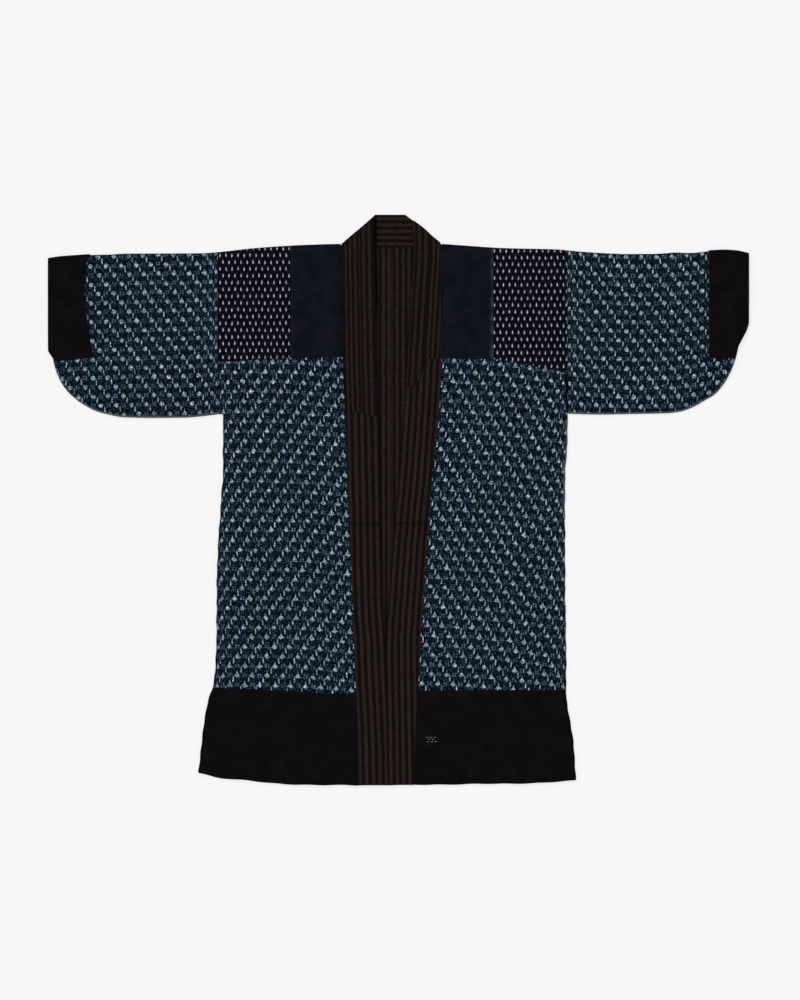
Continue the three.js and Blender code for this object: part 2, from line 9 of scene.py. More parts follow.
import bpy
import numpy as np
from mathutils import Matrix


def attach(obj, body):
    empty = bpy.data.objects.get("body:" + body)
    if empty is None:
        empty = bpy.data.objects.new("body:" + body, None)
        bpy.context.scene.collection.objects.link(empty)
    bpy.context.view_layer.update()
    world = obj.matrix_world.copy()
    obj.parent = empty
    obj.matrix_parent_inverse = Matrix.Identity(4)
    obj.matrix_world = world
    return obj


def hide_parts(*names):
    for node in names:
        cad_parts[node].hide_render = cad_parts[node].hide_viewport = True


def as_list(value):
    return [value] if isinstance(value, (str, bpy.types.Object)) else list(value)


bl_info = {
    "name": "Noragi Jacket",
    "version": (1, 0, 0),
    "blender": (4, 5, 0),
    "location": "3D View > Sidebar > Noragi",
    "description": "Cloths, collar, seams and stitches of a laid-out cotton farm jacket",
    "category": "Object",
}

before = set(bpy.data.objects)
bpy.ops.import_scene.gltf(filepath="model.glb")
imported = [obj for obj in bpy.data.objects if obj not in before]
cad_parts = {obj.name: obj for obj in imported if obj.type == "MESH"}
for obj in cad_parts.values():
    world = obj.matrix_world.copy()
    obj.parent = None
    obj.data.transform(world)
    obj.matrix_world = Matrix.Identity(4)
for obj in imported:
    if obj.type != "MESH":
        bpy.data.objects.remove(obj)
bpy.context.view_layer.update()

MM = 0.001
HALVES = ("left", "right")

# ---- Cut of the jacket, as in its solids ----
WALL = 2.0  # double cotton of the body and sleeves
THIN_WALL = 1.0  # single cotton of the back lining and the collar covers
CUFF_WALL = 1.2
BAND = 2.6  # the folded collar band
NECK_BAND = 3.0
LAYER_GAP = 0.3
SEAM_GAP = 0.02  # half of what is left open between two sewn edges
COVER_GAP = 0.5
LEAST_LOFT = 0.1  # the least that is left open between two layers
# The inner edge of the left cuff's front as it was sewn: y, x.
CUFF_EDGE = ((254, -543), (290, -549.5), (330, -555.5), (370, -558), (415, -556), (436, -552.5))
ROLL = 26.0  # how far in from an edge the upper layer reaches its full height
BASE_LOFT = 1.1
ARMHOLE_LOFT = 0.3
HEM_LOFT = 0.35

ARMHOLE = {"left": -321.3, "right": 299.9}
ARMPIT = 153.0
ARMPIT_STEP = 0.6  # the height over which the side edge steps sideways at the armpit
CENTRE = -13.0  # the seam down the middle of the back
YOKE_SEAM = {"left": -192.0, "right": 168.8}
BACK_YOKE_FOOT = 250.0
BACK_HEM_SEAM = -338.0
NECK_POINT, NECK_MIDDLE, NECK_LEFT, NECK_RIGHT = 453.6, 449.6, -102.0, 74.0
# The slanting lower ends of the covers: share of the width from the outer edge, y.
COVER_END = {
    "left": ((0, 157.5), (0.55, 156), (0.75, 149.5), (1, 148)),
    "right": ((0, 253), (0.4, 252), (0.62, 214), (0.8, 201), (1, 200)),
}
COVER_INSET = 0.03
COLLAR_CREASE = -42.0
STRIPE_LEAN = {"left": 4.3, "right": 0.0}  # how far a band's stripes lean inwards at the hem
NAVY_BEND = 0.6
NAVY_FRAY = {"left": 0.15, "right": 1.0}
FRAY_PALE, FRAY_RUN = 0.42, 4.0
LINING_TOP, LINING_BOTTOM, LINING_UNDER = 449.0, -350.0, 0.55

SHOULDER = (
    (-624, 431), (-599, 434.5), (-524, 438.5), (-350, 439.5), (-321, 441.5), (-257, 448.5),
    (-172, 454), (-102, 456), (74, 456), (106, 454), (191, 448.5), (277, 446.5), (300, 444.8),
    (323, 442.5), (362, 439.8), (408, 438), (460, 438.5), (494, 440.9), (522, 441.5),
    (551, 444.5), (579, 446), (599, 445), (624, 440),
)  # fmt: skip
# The body's side edges: y, left x, right x.
SIDES = (
    (-500, -358, 316), (-470, -355, 314.6), (-434, -350.5, 311.6), (-399, -346.9, 307),
    (-363, -340.2, 300.2), (-352, -337.2, 298.8), (-328, -330, 298.8), (-285, -325.3, 298.7),
    (-217, -324, 297.9), (-160, -323.8, 296.9), (-107, -322.5, 296.8), (0, -316, 296.5),
    (53, -312.5, 297.5), (107, -312.5, 301), (ARMPIT - ARMPIT_STEP, -312.5, 301.5),
    (ARMPIT, ARMHOLE["left"], ARMHOLE["right"]), (460, ARMHOLE["left"], ARMHOLE["right"]),
)  # fmt: skip
HEM = (
    (-358, -485), (-346, -488), (-321, -494.5), (-271, -499.5), (-222, -504.5), (-172, -507),
    (-135, -508), (-97, -507.8), (-18, -508), (52, -507), (127, -506), (202, -505),
    (252, -503.8), (302, -500.5), (316, -499.3),
)  # fmt: skip
FRONT_YOKE_SEAM = (
    (-345, 245), (-321, 245.5), (-192, 253.5), (-98, 254.5), (79, 252), (167, 250.5),
    (300, 228), (320, 226),
)  # fmt: skip
FRONT_HEM_SEAM = (
    (-345, -334), (-321, -334.5), (-192, -340.5), (-98, -345), (79, -339), (167, -338.5),
    (300, -338), (320, -338),
)  # fmt: skip

# The collar bands from the hem to the slanting folds beside the neck: y, outer x, inner x.
COLLAR = {
    "left": (
        (-508, -71, -19.3), (-411, -72.5, -20.8), (-335, -75.5, -22.3), (-267, -78.5, -24),
        (-178, -81.5, -29.4), (0, -89, -32.9), (178, -96, -36.5), (254, -99, -38.5),
        (349, -100.5, -40), (454, -102.3, -41.8), (459.7, -97, -41.9), (472.1, -82.8, -42.1),
        (490.1, -61.4, -42.4), (503.6, -46, -42.5),
    ),
    "right": (
        (-507.5, 27.5, -18.5), (-411, 30.5, -19.9), (-335, 34.5, -21.3), (-267, 38, -22.3),
        (-139, 46.5, -14.5), (-48, 53.5, -7.5), (43, 60, 1), (110, 66.5, 6), (178, 73, 10.5),
        (254, 76.5, 14.5), (303, 78, 17.5), (356, 77, 20.5), (453, 76.5, 25.8),
        (459.1, 74, 25.7), (464.1, 67.7, 25.6), (469.9, 60.5, 25.5), (483.4, 46.3, 25.2),
        (497, 28.5, 25),
    ),
}  # fmt: skip
BAND_CROWN = ((0, -0.7), (0.14, -0.1), (0.5, 0.2), (0.86, 0), (1, -0.8))
NECK_SIDES = ((NECK_POINT, -101.6, 73.6), (497, -53, 27), (508, -42, 12))

# foot is the lower edge up to an elliptical corner, which ends upright at corner_end. The cuff
# runs from inner to end, and leans in to cuff_corner over the share lean of its height.
Sleeve = namedtuple(
    "Sleeve",
    "half side seam end foot corner_end wide deep inner cuff_foot cuff_outer cuff_corner lean",
)
SLEEVES = {
    "left": Sleeve(
        "left", -1, ARMHOLE["left"], -624,
        ((-600, 148), (-560, 151.5), (-520, 151), (-488, 147.2), (-442, 146), (-380, 146.5),
         (-350, 149), (-321, 152.5)),
        -617, 117, 125, -549, 254, 246, -613, 0.12,
    ),
    "right": Sleeve(
        "right", 1, ARMHOLE["right"], 624,
        ((300, 153.5), (362, 152), (415, 153), (480, 154.5), (500, 156.8), (523, 160.2),
         (545, 162), (566, 158), (588, 157.3)),
        608, 112, 148, 552, 253, 253, 600, 0.36,
    ),
}  # fmt: skip

# The soft folds of the upper layer: a line from a to b, its half width and height.
FOLDS = (
    ((-305, 140), (-215, 40), 26, 1.0),
    ((285, 140), (205, 50), 26, 0.9),
    ((-590, 350), (-350, 300), 34, 0.9),
    ((-560, 215), (-390, 185), 24, 0.8),
    ((600, 345), (340, 320), 34, 0.9),
    ((545, 215), (370, 190), 24, 0.8),
    ((-255, -40), (-235, -330), 38, 0.9),
    ((-165, 190), (-170, -260), 30, -0.5),
    ((215, -30), (225, -330), 38, 0.9),
    ((140, 180), (125, -260), 30, -0.5),
    ((-325, -470), (-240, -370), 28, 0.9),
    ((290, -475), (215, -385), 28, 0.8),
    ((88, 425), (112, 345), 16, 0.6),
)

# Smaller creases of the upper layer, which only the dressed cloth has.
CREASES = (
    ((-300, 95), (-262, 30), 9, 0.55),
    ((-292, 60), (-240, -20), 11, -0.45),
    ((280, 100), (238, 20), 9, 0.5),
    ((286, 55), (252, -30), 10, -0.4),
    ((-330, 205), (-395, 178), 9, 0.45),
    ((320, 215), (380, 185), 9, 0.45),
    ((-470, 400), (-380, 372), 12, 0.4),
    ((-590, 300), (-520, 270), 10, -0.4),
    ((470, 395), (395, 360), 12, 0.4),
    ((520, 300), (470, 262), 10, -0.35),
    ((-205, 120), (-120, 95), 12, 0.35),
    ((-300, -120), (-225, -150), 14, 0.4),
    ((-150, -210), (-100, -250), 12, -0.35),
    ((120, 60), (190, 30), 12, 0.35),
    ((265, -150), (190, -175), 14, 0.4),
    ((90, -220), (150, -270), 12, -0.35),
    ((-330, -400), (-215, -415), 9, 0.5),
    ((-180, -365), (-90, -372), 8, 0.4),
    ((-250, -470), (-120, -462), 10, -0.45),
    ((60, -375), (170, -366), 8, 0.4),
    ((180, -420), (290, -405), 10, 0.5),
    ((70, -470), (210, -476), 9, -0.4),
    ((-250, 420), (-215, 330), 10, 0.4),
    ((-150, 430), (-135, 300), 12, 0.45),
    ((228, 425), (240, 300), 11, 0.4),
    ((146, 400), (120, 300), 10, -0.35),
)

# Troughs and ridges of the hidden lower layer, up from the surface it lies on.
BACK_FOLDS = (
    ((-290, 120), (-190, 10), 24, 0.5),
    ((270, 120), (180, 0), 22, 0.5),
    ((-240, -60), (-225, -320), 30, 0.45),
    ((200, -50), (215, -310), 30, 0.45),
    ((-120, 200), (-110, -200), 26, 0.4),
    ((100, 180), (90, -240), 26, 0.4),
    ((-310, -460), (-210, -380), 24, 0.4),
    ((280, -470), (190, -390), 24, 0.4),
    ((-580, 330), (-370, 290), 28, 0.45),
    ((-540, 210), (-400, 195), 20, 0.4),
    ((590, 330), (360, 300), 28, 0.45),
    ((530, 205), (390, 200), 20, 0.4),
    ((-230, 400), (-60, 330), 22, 0.4),
    ((180, 400), (40, 330), 22, 0.4),
)

Edges = namedtuple("Edges", "left right bottom top")

# ---- Cells of the meshes ----
HIDDEN_CELL = 1.6  # the hidden layers' cells, as a multiple of the upper ones
BAND_CELL = 0.75  # the collar's cells, as a multiple of the upper ones
FINE_CELL = 1 / 3  # cells of the neck band and the lining, which follow the stripes
# Distances from an edge at which the rows of cells beside it stand.
SEWN_ROWS = (0.6, 1.5, 2.8, 4.6, 7.0)
FOLDED_ROWS = (1.5, 4.0, 6.5, 9.5)
BAND_ROWS = (0.5, 1.2, 2.2, 3.6, 5.4)


# ---- Curves and grids ----
def mix(a, b, t):
    return a + (b - a) * t


def smooth(at, low, high):
    """A step from 0 at low to 1 at high, level at both ends."""
    t = np.clip((at - low) / (high - low), 0, 1)
    return t * t * (3 - 2 * t)


def curve(points):
    """A smooth curve through the points that never swings past them."""
    at, value = np.array(points, float).T
    secant = np.diff(value) / np.diff(at)
    before, after = secant[:-1], secant[1:]
    rising = before * after > 0
    total = np.where(rising, before + after, 1)
    slope = np.concatenate(
        [secant[:1], np.where(rising, 2 * before * after / total, 0), secant[-1:]]
    )

    def through(place):
        place = np.clip(place, at[0], at[-1])
        i = np.clip(np.searchsorted(at, place, side="right") - 1, 0, len(at) - 2)
        width = at[i + 1] - at[i]
        t = (place - at[i]) / width
        rise = value[i + 1] - value[i]
        a = slope[i] * width - rise
        b = rise - slope[i + 1] * width
        return value[i] + t * rise + t * (1 - t) * (a * (1 - t) + b * t)

    return through


def graded(length, cell, fine=SEWN_ROWS):
    """Shares of a length in mm, closer together beside both ends, where the cloth is sewn."""
    near = [0.0, *[d for d in fine if d < length / 4]]
    count = max(2, round((length - 2 * near[-1]) / cell))
    middle = np.linspace(near[-1], length - near[-1], count + 1)
    ends = [length - d for d in reversed(near[:-1])]
    return np.concatenate([near[:-1], middle, ends]) / length


def cell_size(context):
    """The size of the upper cloths' cells in mm."""
    return context.scene.jacket_cut.cell / MM


def dip(distance, depth, run):
    """How far the cloth sinks beside a seam."""
    return depth * np.exp(-((distance / run) ** 2))


def ridges(folds, x, y):
    """The height of soft folds at a place: full at the middle of each line."""
    total = np.zeros(np.broadcast(x, y).shape)
    for (ax, ay), (bx, by), half, high in folds:
        dx, dy = bx - ax, by - ay
        t = np.clip(((x - ax) * dx + (y - ay) * dy) / (dx * dx + dy * dy), 0, 1)
        away = np.hypot(x - ax - t * dx, y - ay - t * dy) / half
        total = total + high * np.exp(-away * away) * (0.45 + 0.55 * np.sin(np.pi * t))
    return total


# Waves of hand-woven cotton that has never lain quite flat: length and direction, height.
WAVES = (
    (61, 0.3, 0.10), (83, 1.9, 0.12), (47, 2.7, 0.07), (118, 1.1, 0.14), (37, 0.9, 0.05),
    (29, 2.2, 0.04), (151, 2.5, 0.15), (71, 1.5, 0.08),
)  # fmt: skip


def unevenness(x, y):
    """How far the cloth rises or sinks by itself."""
    total = 0
    for k, (length, way, high) in enumerate(WAVES):
        along = x * math.cos(way) + y * math.sin(way)
        across = -x * math.sin(way) + y * math.cos(way)
        bend = 0.9 * np.sin(across * 2 * np.pi / (length * 1.7) + 2.1 * k)
        total = total + high * np.sin(along * 2 * np.pi / length + bend + 1.3 * k)
    return total


# ---- Outline ----
shoulder = curve(SHOULDER)
hem_line = curve(HEM)
side_lines = {
    "left": curve([(y, left) for y, left, _ in SIDES]),
    "right": curve([(y, right) for y, _, right in SIDES]),
}


def hem(x):
    """The lower edge with the small waves of its turned-in cloth."""
    return hem_line(x) + 0.45 * np.sin(x / 9.3) + 0.35 * np.sin(x / 22 + 1.0)


def scalloped(side):
    """A side edge with the small waves that its running stitches draw it into."""
    phase = 1.3 if side == "left" else 0.2

    def edge(y):
        wave = np.sin(y / 5.3 + phase) + 0.7 * np.sin(y / 11.7 + 3 * phase)
        return side_lines[side](y) + 0.45 * wave * smooth(ARMPIT - y, 10, 40)

    return edge


side_edges = {side: scalloped(side) for side in side_lines}
yoke_seam = curve(FRONT_YOKE_SEAM)
hem_seam = curve(FRONT_HEM_SEAM)
collar_outer = {half: curve([row[:2] for row in rows]) for half, rows in COLLAR.items()}
collar_inner = {half: curve([(y, x) for y, _, x in rows]) for half, rows in COLLAR.items()}
band_crown = curve(BAND_CROWN)


PAST_CORNER = 0.15  # how fast a sleeve's foot goes on rising past its corner


def sleeve_foot(sleeve):
    """The lower edge of a sleeve: nearly straight, then an elliptical corner."""
    straight = curve(sleeve.foot)
    centre = sleeve.corner_end - sleeve.side * sleeve.wide

    def foot(x):
        out = np.clip(sleeve.side * (x - centre) / sleeve.wide, 0, 1)
        beyond = np.maximum(sleeve.side * (x - sleeve.corner_end), 0)
        corner = sleeve.deep * (1 - np.sqrt(1 - out * out))
        return straight(x) + corner + PAST_CORNER * beyond * beyond

    return foot


sleeve_feet = {half: sleeve_foot(sleeve) for half, sleeve in SLEEVES.items()}


def neckline(x):
    """The back's upper edge, lowest in the middle."""
    half = np.where(x < CENTRE, CENTRE - NECK_LEFT, NECK_RIGHT - CENTRE)
    return mix(NECK_MIDDLE, NECK_POINT, np.minimum(1, np.abs(x - CENTRE) / half))


# ---- Heights of the upper layer ----
def rolled(distance):
    """The share of its height that the upper layer has at a distance from an edge."""
    return np.sin(np.pi / 2 * np.clip(distance / ROLL, 0, 1))


def body_fade(x, y):
    """The share of its loft that the body's upper layer has at a place."""
    from_armholes = np.minimum(x - ARMHOLE["left"], ARMHOLE["right"] - x)
    from_sides = np.minimum(x - side_edges["left"](y), side_edges["right"](y) - x)
    beside = mix(ARMHOLE_LOFT, 1, rolled(from_armholes))
    above = smooth(y, ARMPIT - ROLL / 2, ARMPIT + ROLL / 2)
    across = mix(rolled(from_sides), beside, above)
    at_hem = mix(HEM_LOFT, 1, rolled((y - hem(x)) / 2))
    return across * rolled(shoulder(x) - y) * at_hem


def sleeve_fade(x, y, half):
    """The share of its loft that a sleeve's upper layer has at a place."""
    along = mix(ARMHOLE_LOFT, 1, rolled(np.abs(x - ARMHOLE[half])))
    return along * rolled(shoulder(x) - y) * rolled(y - sleeve_feet[half](x))


def body_low(x, y):
    """The underside of the body's upper layer, without its small creases."""
    return WALL + LAYER_GAP + (BASE_LOFT + ridges(FOLDS, x, y)) * body_fade(x, y)


def crumpled(x, y, fade):
    """The small creases and the unevenness of an upper layer."""
    return (ridges(CREASES, x, y) + unevenness(x, y)) * fade


def place(edges, us, vs):
    """The points at shares us across and vs up between four edges."""
    u, v = np.meshgrid(us, vs, indexing="ij")
    x = mix(edges.left(0), edges.right(0), u)
    y = np.zeros_like(x)
    for _ in range(5):
        y = mix(edges.bottom(x), edges.top(x), v)
        x = mix(edges.left(y), edges.right(y), u)
    return x, y


# ---- Grain of the cloths ----
EDGE_CROWDING = 0.8  # how much closer the pattern stands where the cloth turns over an edge


def turned(distance):
    """Extra cloth that lies within a roll's width of a folded edge."""
    inside = 1 - np.clip(distance / ROLL, 0, 1)
    return EDGE_CROWDING * ROLL / 2 * inside * inside


# How the body cloth lies on each half: the place across where its rows are level, how far its
# columns lean, how steeply its rows climb and how much they bow.
Hang = namedtuple("Hang", "middle lean climb bow")
BODY_HANG = {
    "left": Hang(-291, 0.032, -0.02, 0.00032),
    "right": Hang(118, 0.075, 0.06, 0.00028),
}
BODY_CROWDING = 0.00003  # how fast the body's rows come closer towards the hem
SLEEVE_CROWDING = 1.055  # how much closer the sleeves' rows stand
LEFT_LEAN, LEFT_CLIMB = 0.02, 0.03
RIGHT_MIDDLE, RIGHT_BOW = 432, 0.0005


def body_grain(half, x, y):
    """Across and along the body cloth, which hangs from the collar seam and sags a little."""
    hang = BODY_HANG[half]
    way = -1 if half == "left" else 1
    across = way * x - hang.lean * y + turned(way * (side_edges[half](y) - x))
    from_middle = x - hang.middle
    along = y + hang.climb * from_middle + hang.bow * from_middle * from_middle
    return across, along - BODY_CROWDING * along * along


def sleeve_grain(half, x, y):
    """Across and along the sleeve cloth, which slopes on the left and bows on the right."""
    if half == "left":
        across = x + LEFT_LEAN * y + turned(ARMHOLE["left"] - x)
        along = y - LEFT_CLIMB * x
    else:
        across = x - turned(x - ARMHOLE["right"])
        along = y - RIGHT_BOW * (x - RIGHT_MIDDLE) ** 2
    return across, along * SLEEVE_CROWDING


# ---- Cloth meshes ----
RIM_ROUNDING = 0.5  # how far the walls draw in at their rim


def cloth_piece(name, outer, inner, grain, is_tube=False, wear_and_shade=None):
    """A closed shell between two grids of points in mm, with a rounded rim. grain is its map
    in mm, with one more row than the points of a tube, which closes along its rows."""
    columns, rows = grain.shape[0] - 1, grain.shape[1] - 1
    ring = rows if is_tube else rows + 1
    outer, inner = outer.copy(), inner.copy()
    if is_tube:
        back = range(rows, 0, -1)
        loops = [[(0, j) for j in back] + [(0, 0)], [(columns, j) for j in range(rows + 1)]]
    else:
        loop = [(i, 0) for i in range(columns)] + [(columns, j) for j in range(rows)]
        loop += [(i, rows) for i in range(columns, 0, -1)] + [(0, j) for j in range(rows, 0, -1)]
        loops = [loop + [(0, 0)]]

    def pulled(points, at, inward):
        away = points[at] - points[inward]
        length = max(np.linalg.norm(away), 1e-6)
        return points[at] - away / length * min(RIM_ROUNDING, 0.6 * length)

    count = (columns + 1) * ring
    rim_points, rim_at, moved = [], {}, []
    for loop in loops:
        for i, j in loop[:-1]:
            at = (i, j % ring)
            beside = (min(max(i, 1), columns - 1), at[1] if is_tube else min(max(j, 1), rows - 1))
            rim_at[at] = 2 * count + len(rim_points)
            rim_points.append((outer[at] + inner[at]) / 2)
            moved.append((at, pulled(outer, at, beside), pulled(inner, at, beside)))
    for at, out_point, in_point in moved:
        outer[at], inner[at] = out_point, in_point

    i, j = np.meshgrid(np.arange(columns), np.arange(rows), indexing="ij")
    i, j = i.ravel(), j.ravel()
    corners = [(i, j), (i + 1, j), (i + 1, j + 1), (i, j + 1)]
    ids = np.stack([a * ring + b % ring for a, b in corners], 1)
    maps = np.stack([a * (rows + 1) + b for a, b in corners], 1)
    faces, spots = [ids, ids[:, ::-1] + count], [maps, maps[:, ::-1]]
    for loop in loops:
        for b, c in zip(loop, loop[1:]):
            at_b, at_c = (b[0], b[1] % ring), (c[0], c[1] % ring)
            vb, vc = at_b[0] * ring + at_b[1], at_c[0] * ring + at_c[1]
            rb, rc = rim_at[at_b], rim_at[at_c]
            mb, mc = b[0] * (rows + 1) + b[1], c[0] * (rows + 1) + c[1]
            faces.append(np.array([[vc, vb, rb, rc], [rc, rb, vb + count, vc + count]]))
            spots.append(np.array([[mc, mb, mb, mc], [mc, mb, mb, mc]]))
    faces, spots = np.concatenate(faces), np.concatenate(spots)
    points = np.concatenate([outer.reshape(-1, 3), inner.reshape(-1, 3), np.array(rim_points)])
    a, b, c, d = (points[faces[:, k]] for k in range(4))
    volume = (a * np.cross(b, c)).sum() + (a * np.cross(c, d)).sum()
    if volume < 0:
        faces, spots = faces[:, ::-1], spots[:, ::-1]

    mesh = bpy.data.meshes.new(name)
    mesh.from_pydata((points * MM).tolist(), [], faces.tolist())
    layer = mesh.uv_layers.new(name="Grain")
    layer.uv.foreach_set("vector", (grain.reshape(-1, 2)[spots.ravel()] * MM).ravel())
    # This attribute holds real fraying as well as painted shade and painted shadow, which the cotton
    # shader turns into colour.
    if wear_and_shade is not None:
        rim_wear_and_shade = [wear_and_shade[at] for at in rim_at]
        worn = mesh.attributes.new("WearAndShade", "FLOAT", "POINT")
        flat = wear_and_shade[:, :ring].ravel()
        worn.data.foreach_set("value", np.concatenate([flat, flat, rim_wear_and_shade]))
    mesh.shade_smooth()
    piece = bpy.data.objects.new(name, mesh)
    bpy.context.scene.collection.objects.link(piece)
    return piece


def stack(*parts):
    return np.stack(np.broadcast_arrays(*parts), -1)


def walls(rows):
    """The outer and the inner grid of a cloth from its rows, which hold both as a pair."""
    outer, inner = (np.stack(points, 1) for points in zip(*rows))
    return outer, inner


def laid_along(outer):
    """How far each point lies along its row, over the cloth."""
    steps = np.hypot(np.diff(outer[..., 1], axis=1), np.diff(outer[..., 2], axis=1))
    return np.concatenate([np.zeros((len(outer), 1)), np.cumsum(steps, 1)], 1)


def fit(piece, node_name, slot_name, material, width, length, area, rests_on):
    """Puts a finished cloth in place of its solid, with its finish. Its cut size, the rectangle that
    it is cut from, in mm, and its own area in square metres are not used."""
    piece.data.materials.append(material)
    flat = (width * MM, length * MM)
    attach(piece, "root")
    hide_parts(node_name)
    min(area, flat[0] * flat[1])
    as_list(rests_on)


def area_of(x, y):
    """Area in square metres of a grid of places in mm."""
    dx, dy = np.diff(x, axis=0)[:, :-1], np.diff(y, axis=1)[:-1]
    ex, ey = np.diff(x, axis=1)[:-1], np.diff(y, axis=0)[:, :-1]
    return float(np.abs(dx * dy - ex * ey).sum()) * MM * MM


# ---- Body ----
EDGE_SHADE = 0.5  # painted shade: how much darker the cloth is painted where it turns away at the outline
EDGE_SHADOW_PALE = 0.7  # how pale an outline is painted where the floor's shadow beside it is painted on the cloth
SHADE_FROM, SHADE_TO = 1.4, 4.0  # distances between which the painted shade and the pale painted shadow strip end
DEEP_SEAM_TO = 3.4
DEEP_SEAM_TOP = 232.0
SEAM_DIP, SEAM_RUN = 0.95, 2.4
PUCKER, PUCKER_RUN = 0.22, 11.0
BACK_HIGHEST = 1.2  # how far the underside of the back rises at most
# The heights between which the painted floor shadow along the right side edge starts and ends.
SHADOW_STRIP_START, SHADOW_STRIP_END = (-70, 10), (140, 150)


def painted_outline_shade(away, fray_and_shadow=0.0):
    """Painted shade at a distance from the outline, where the cloth turns away: darker there, and
    paler where the floor's shadow beside the edge is painted on the cloth.
    """
    return mix(-EDGE_SHADE, EDGE_SHADOW_PALE, fray_and_shadow) * (1 - smooth(away, SHADE_FROM, SHADE_TO))


def armhole_shade(away, y):
    """Painted shade in the deep seam between the right armhole's patch and its armpit."""
    beside = smooth(y, ARMPIT, ARMPIT + 4) * (1 - smooth(y, DEEP_SEAM_TOP - 10, DEEP_SEAM_TOP))
    return -beside * (1 - smooth(away, SHADE_FROM, DEEP_SEAM_TO))


def body_panel(context, name, half, edges, is_upper, material, slot_name, seams):
    """A panel of the body. seams names the edges that are sewn to a neighbour."""
    cell = cell_size(context) * (1 if is_upper else HIDDEN_CELL)
    x, y = place(edges, (0, 1), (0, 1))
    width, length = np.ptp(x), np.ptp(y)
    levels = graded(length, cell)
    foot, head = y[0] if half == "left" else y[-1]
    if foot < ARMPIT < head:
        step = [(level - foot) / (head - foot) for level in (ARMPIT - ARMPIT_STEP, ARMPIT)]
        levels = np.sort(np.concatenate([levels, step]))
    x, y = place(edges, graded(width, cell), levels)
    across, along = body_grain(half, x, y)
    distances = {
        "left": x - edges.left(y), "right": edges.right(y) - x,
        "bottom": y - edges.bottom(x), "top": edges.top(x) - y,
    }  # fmt: skip
    sunk = sum(dip(distances[edge], SEAM_DIP, SEAM_RUN) for edge in seams)
    pucker = sum(dip(distances[edge], PUCKER, PUCKER_RUN) for edge in seams)
    # The outline gets painted shade. On the right, a pale strip along the side edge is the floor's
    # shadow painted on the cloth, and the armhole seam gets painted shade.
    outline = [distances[half]] + [distances["bottom"]] * ("bottom" not in seams)
    away = np.minimum.reduce(outline)
    if half == "right":
        fray_and_shadow = smooth(y, *SHADOW_STRIP_START) * (1 - smooth(y, *SHADOW_STRIP_END))
        wear_and_shade = painted_outline_shade(away, fray_and_shadow) + armhole_shade(distances["right"], y)
    else:
        wear_and_shade = painted_outline_shade(away)
    if is_upper:
        creased = crumpled(x, y, body_fade(x, y))
        creased = creased + pucker * np.sin(x / 3.1 + 0.7 * np.sin(y / 9)) * np.sin(y / 2.7)
        low = np.maximum(body_low(x, y) + creased, WALL + LEAST_LOFT)
        outer = stack(x, y, low + WALL - sunk)
        inner = stack(x, y, low)
    else:
        creased = ridges(BACK_FOLDS, x, y) + 0.3 * np.abs(unevenness(x, y))
        outer = stack(x, y, np.minimum(creased + 0.6 * sunk, BACK_HIGHEST))
        inner = stack(x, y, WALL)
    piece = cloth_piece(name, outer, inner, stack(across, along), wear_and_shade=wear_and_shade)
    rests_on = [name.replace("front", "back")] if is_upper else ["floor"]
    fit(piece, name, slot_name, material, width, length, area_of(x, y), rests_on)


def body_edges(half, bottom, top, middle):
    """The four edges of a panel between the middle and the side of its half."""
    if half == "left":
        return Edges(side_edges["left"], middle, bottom, top)
    return Edges(middle, side_edges["right"], bottom, top)


def make_body(context, half):
    """Two layers of body panels, each with its hem band."""
    away = -SEAM_GAP if half == "left" else SEAM_GAP
    seam_side = "right" if half == "left" else "left"

    def back_middle(y):
        return CENTRE + away + 0 * y

    def front_middle(y):
        return collar_outer[half](y) + away

    def level(height):
        return lambda x: height + 0 * x

    panels = (
        ("back", level(BACK_HEM_SEAM + SEAM_GAP), level(BACK_YOKE_FOOT - SEAM_GAP)),
        ("back_hem", hem, level(BACK_HEM_SEAM - SEAM_GAP)),
        ("front", lambda x: hem_seam(x) + SEAM_GAP, lambda x: yoke_seam(x) - SEAM_GAP),
        ("front_hem", hem, lambda x: hem_seam(x) - SEAM_GAP),
    )
    for panel, bottom, top in panels:
        is_upper = panel.startswith("front")
        edges = body_edges(half, bottom, top, front_middle if is_upper else back_middle)
        if panel.endswith("hem"):
            finish = black_cotton(), "black_cotton", (seam_side, "top")
        else:
            finish = kasuri_cotton("body"), "kasuri_cotton", (seam_side, "top", "bottom")
        body_panel(context, f"{panel}_{half}", half, edges, is_upper, *finish)


# ---- Shoulder patches, folded over the shoulder line ----
FOLD_RADIUS = WALL + LAYER_GAP / 2
FOLD_TURNS = np.radians((-75, -50, -25, 0, 25, 50, 75))


def fold_rows(x, edge, rest, wall, radius=FOLD_RADIUS, way=1):
    """The rows of a wall that turns over at a folded edge, from the lower leaf to the upper
    one at an upper edge, and the other way round at a lower edge, where way is -1."""

    def point(turn, at_radius):
        y = edge - way * radius + way * at_radius * np.cos(turn)
        return stack(x, y, rest + radius + at_radius * np.sin(turn))

    return [(point(turn, radius), point(turn, radius - wall)) for turn in FOLD_TURNS[::way]]


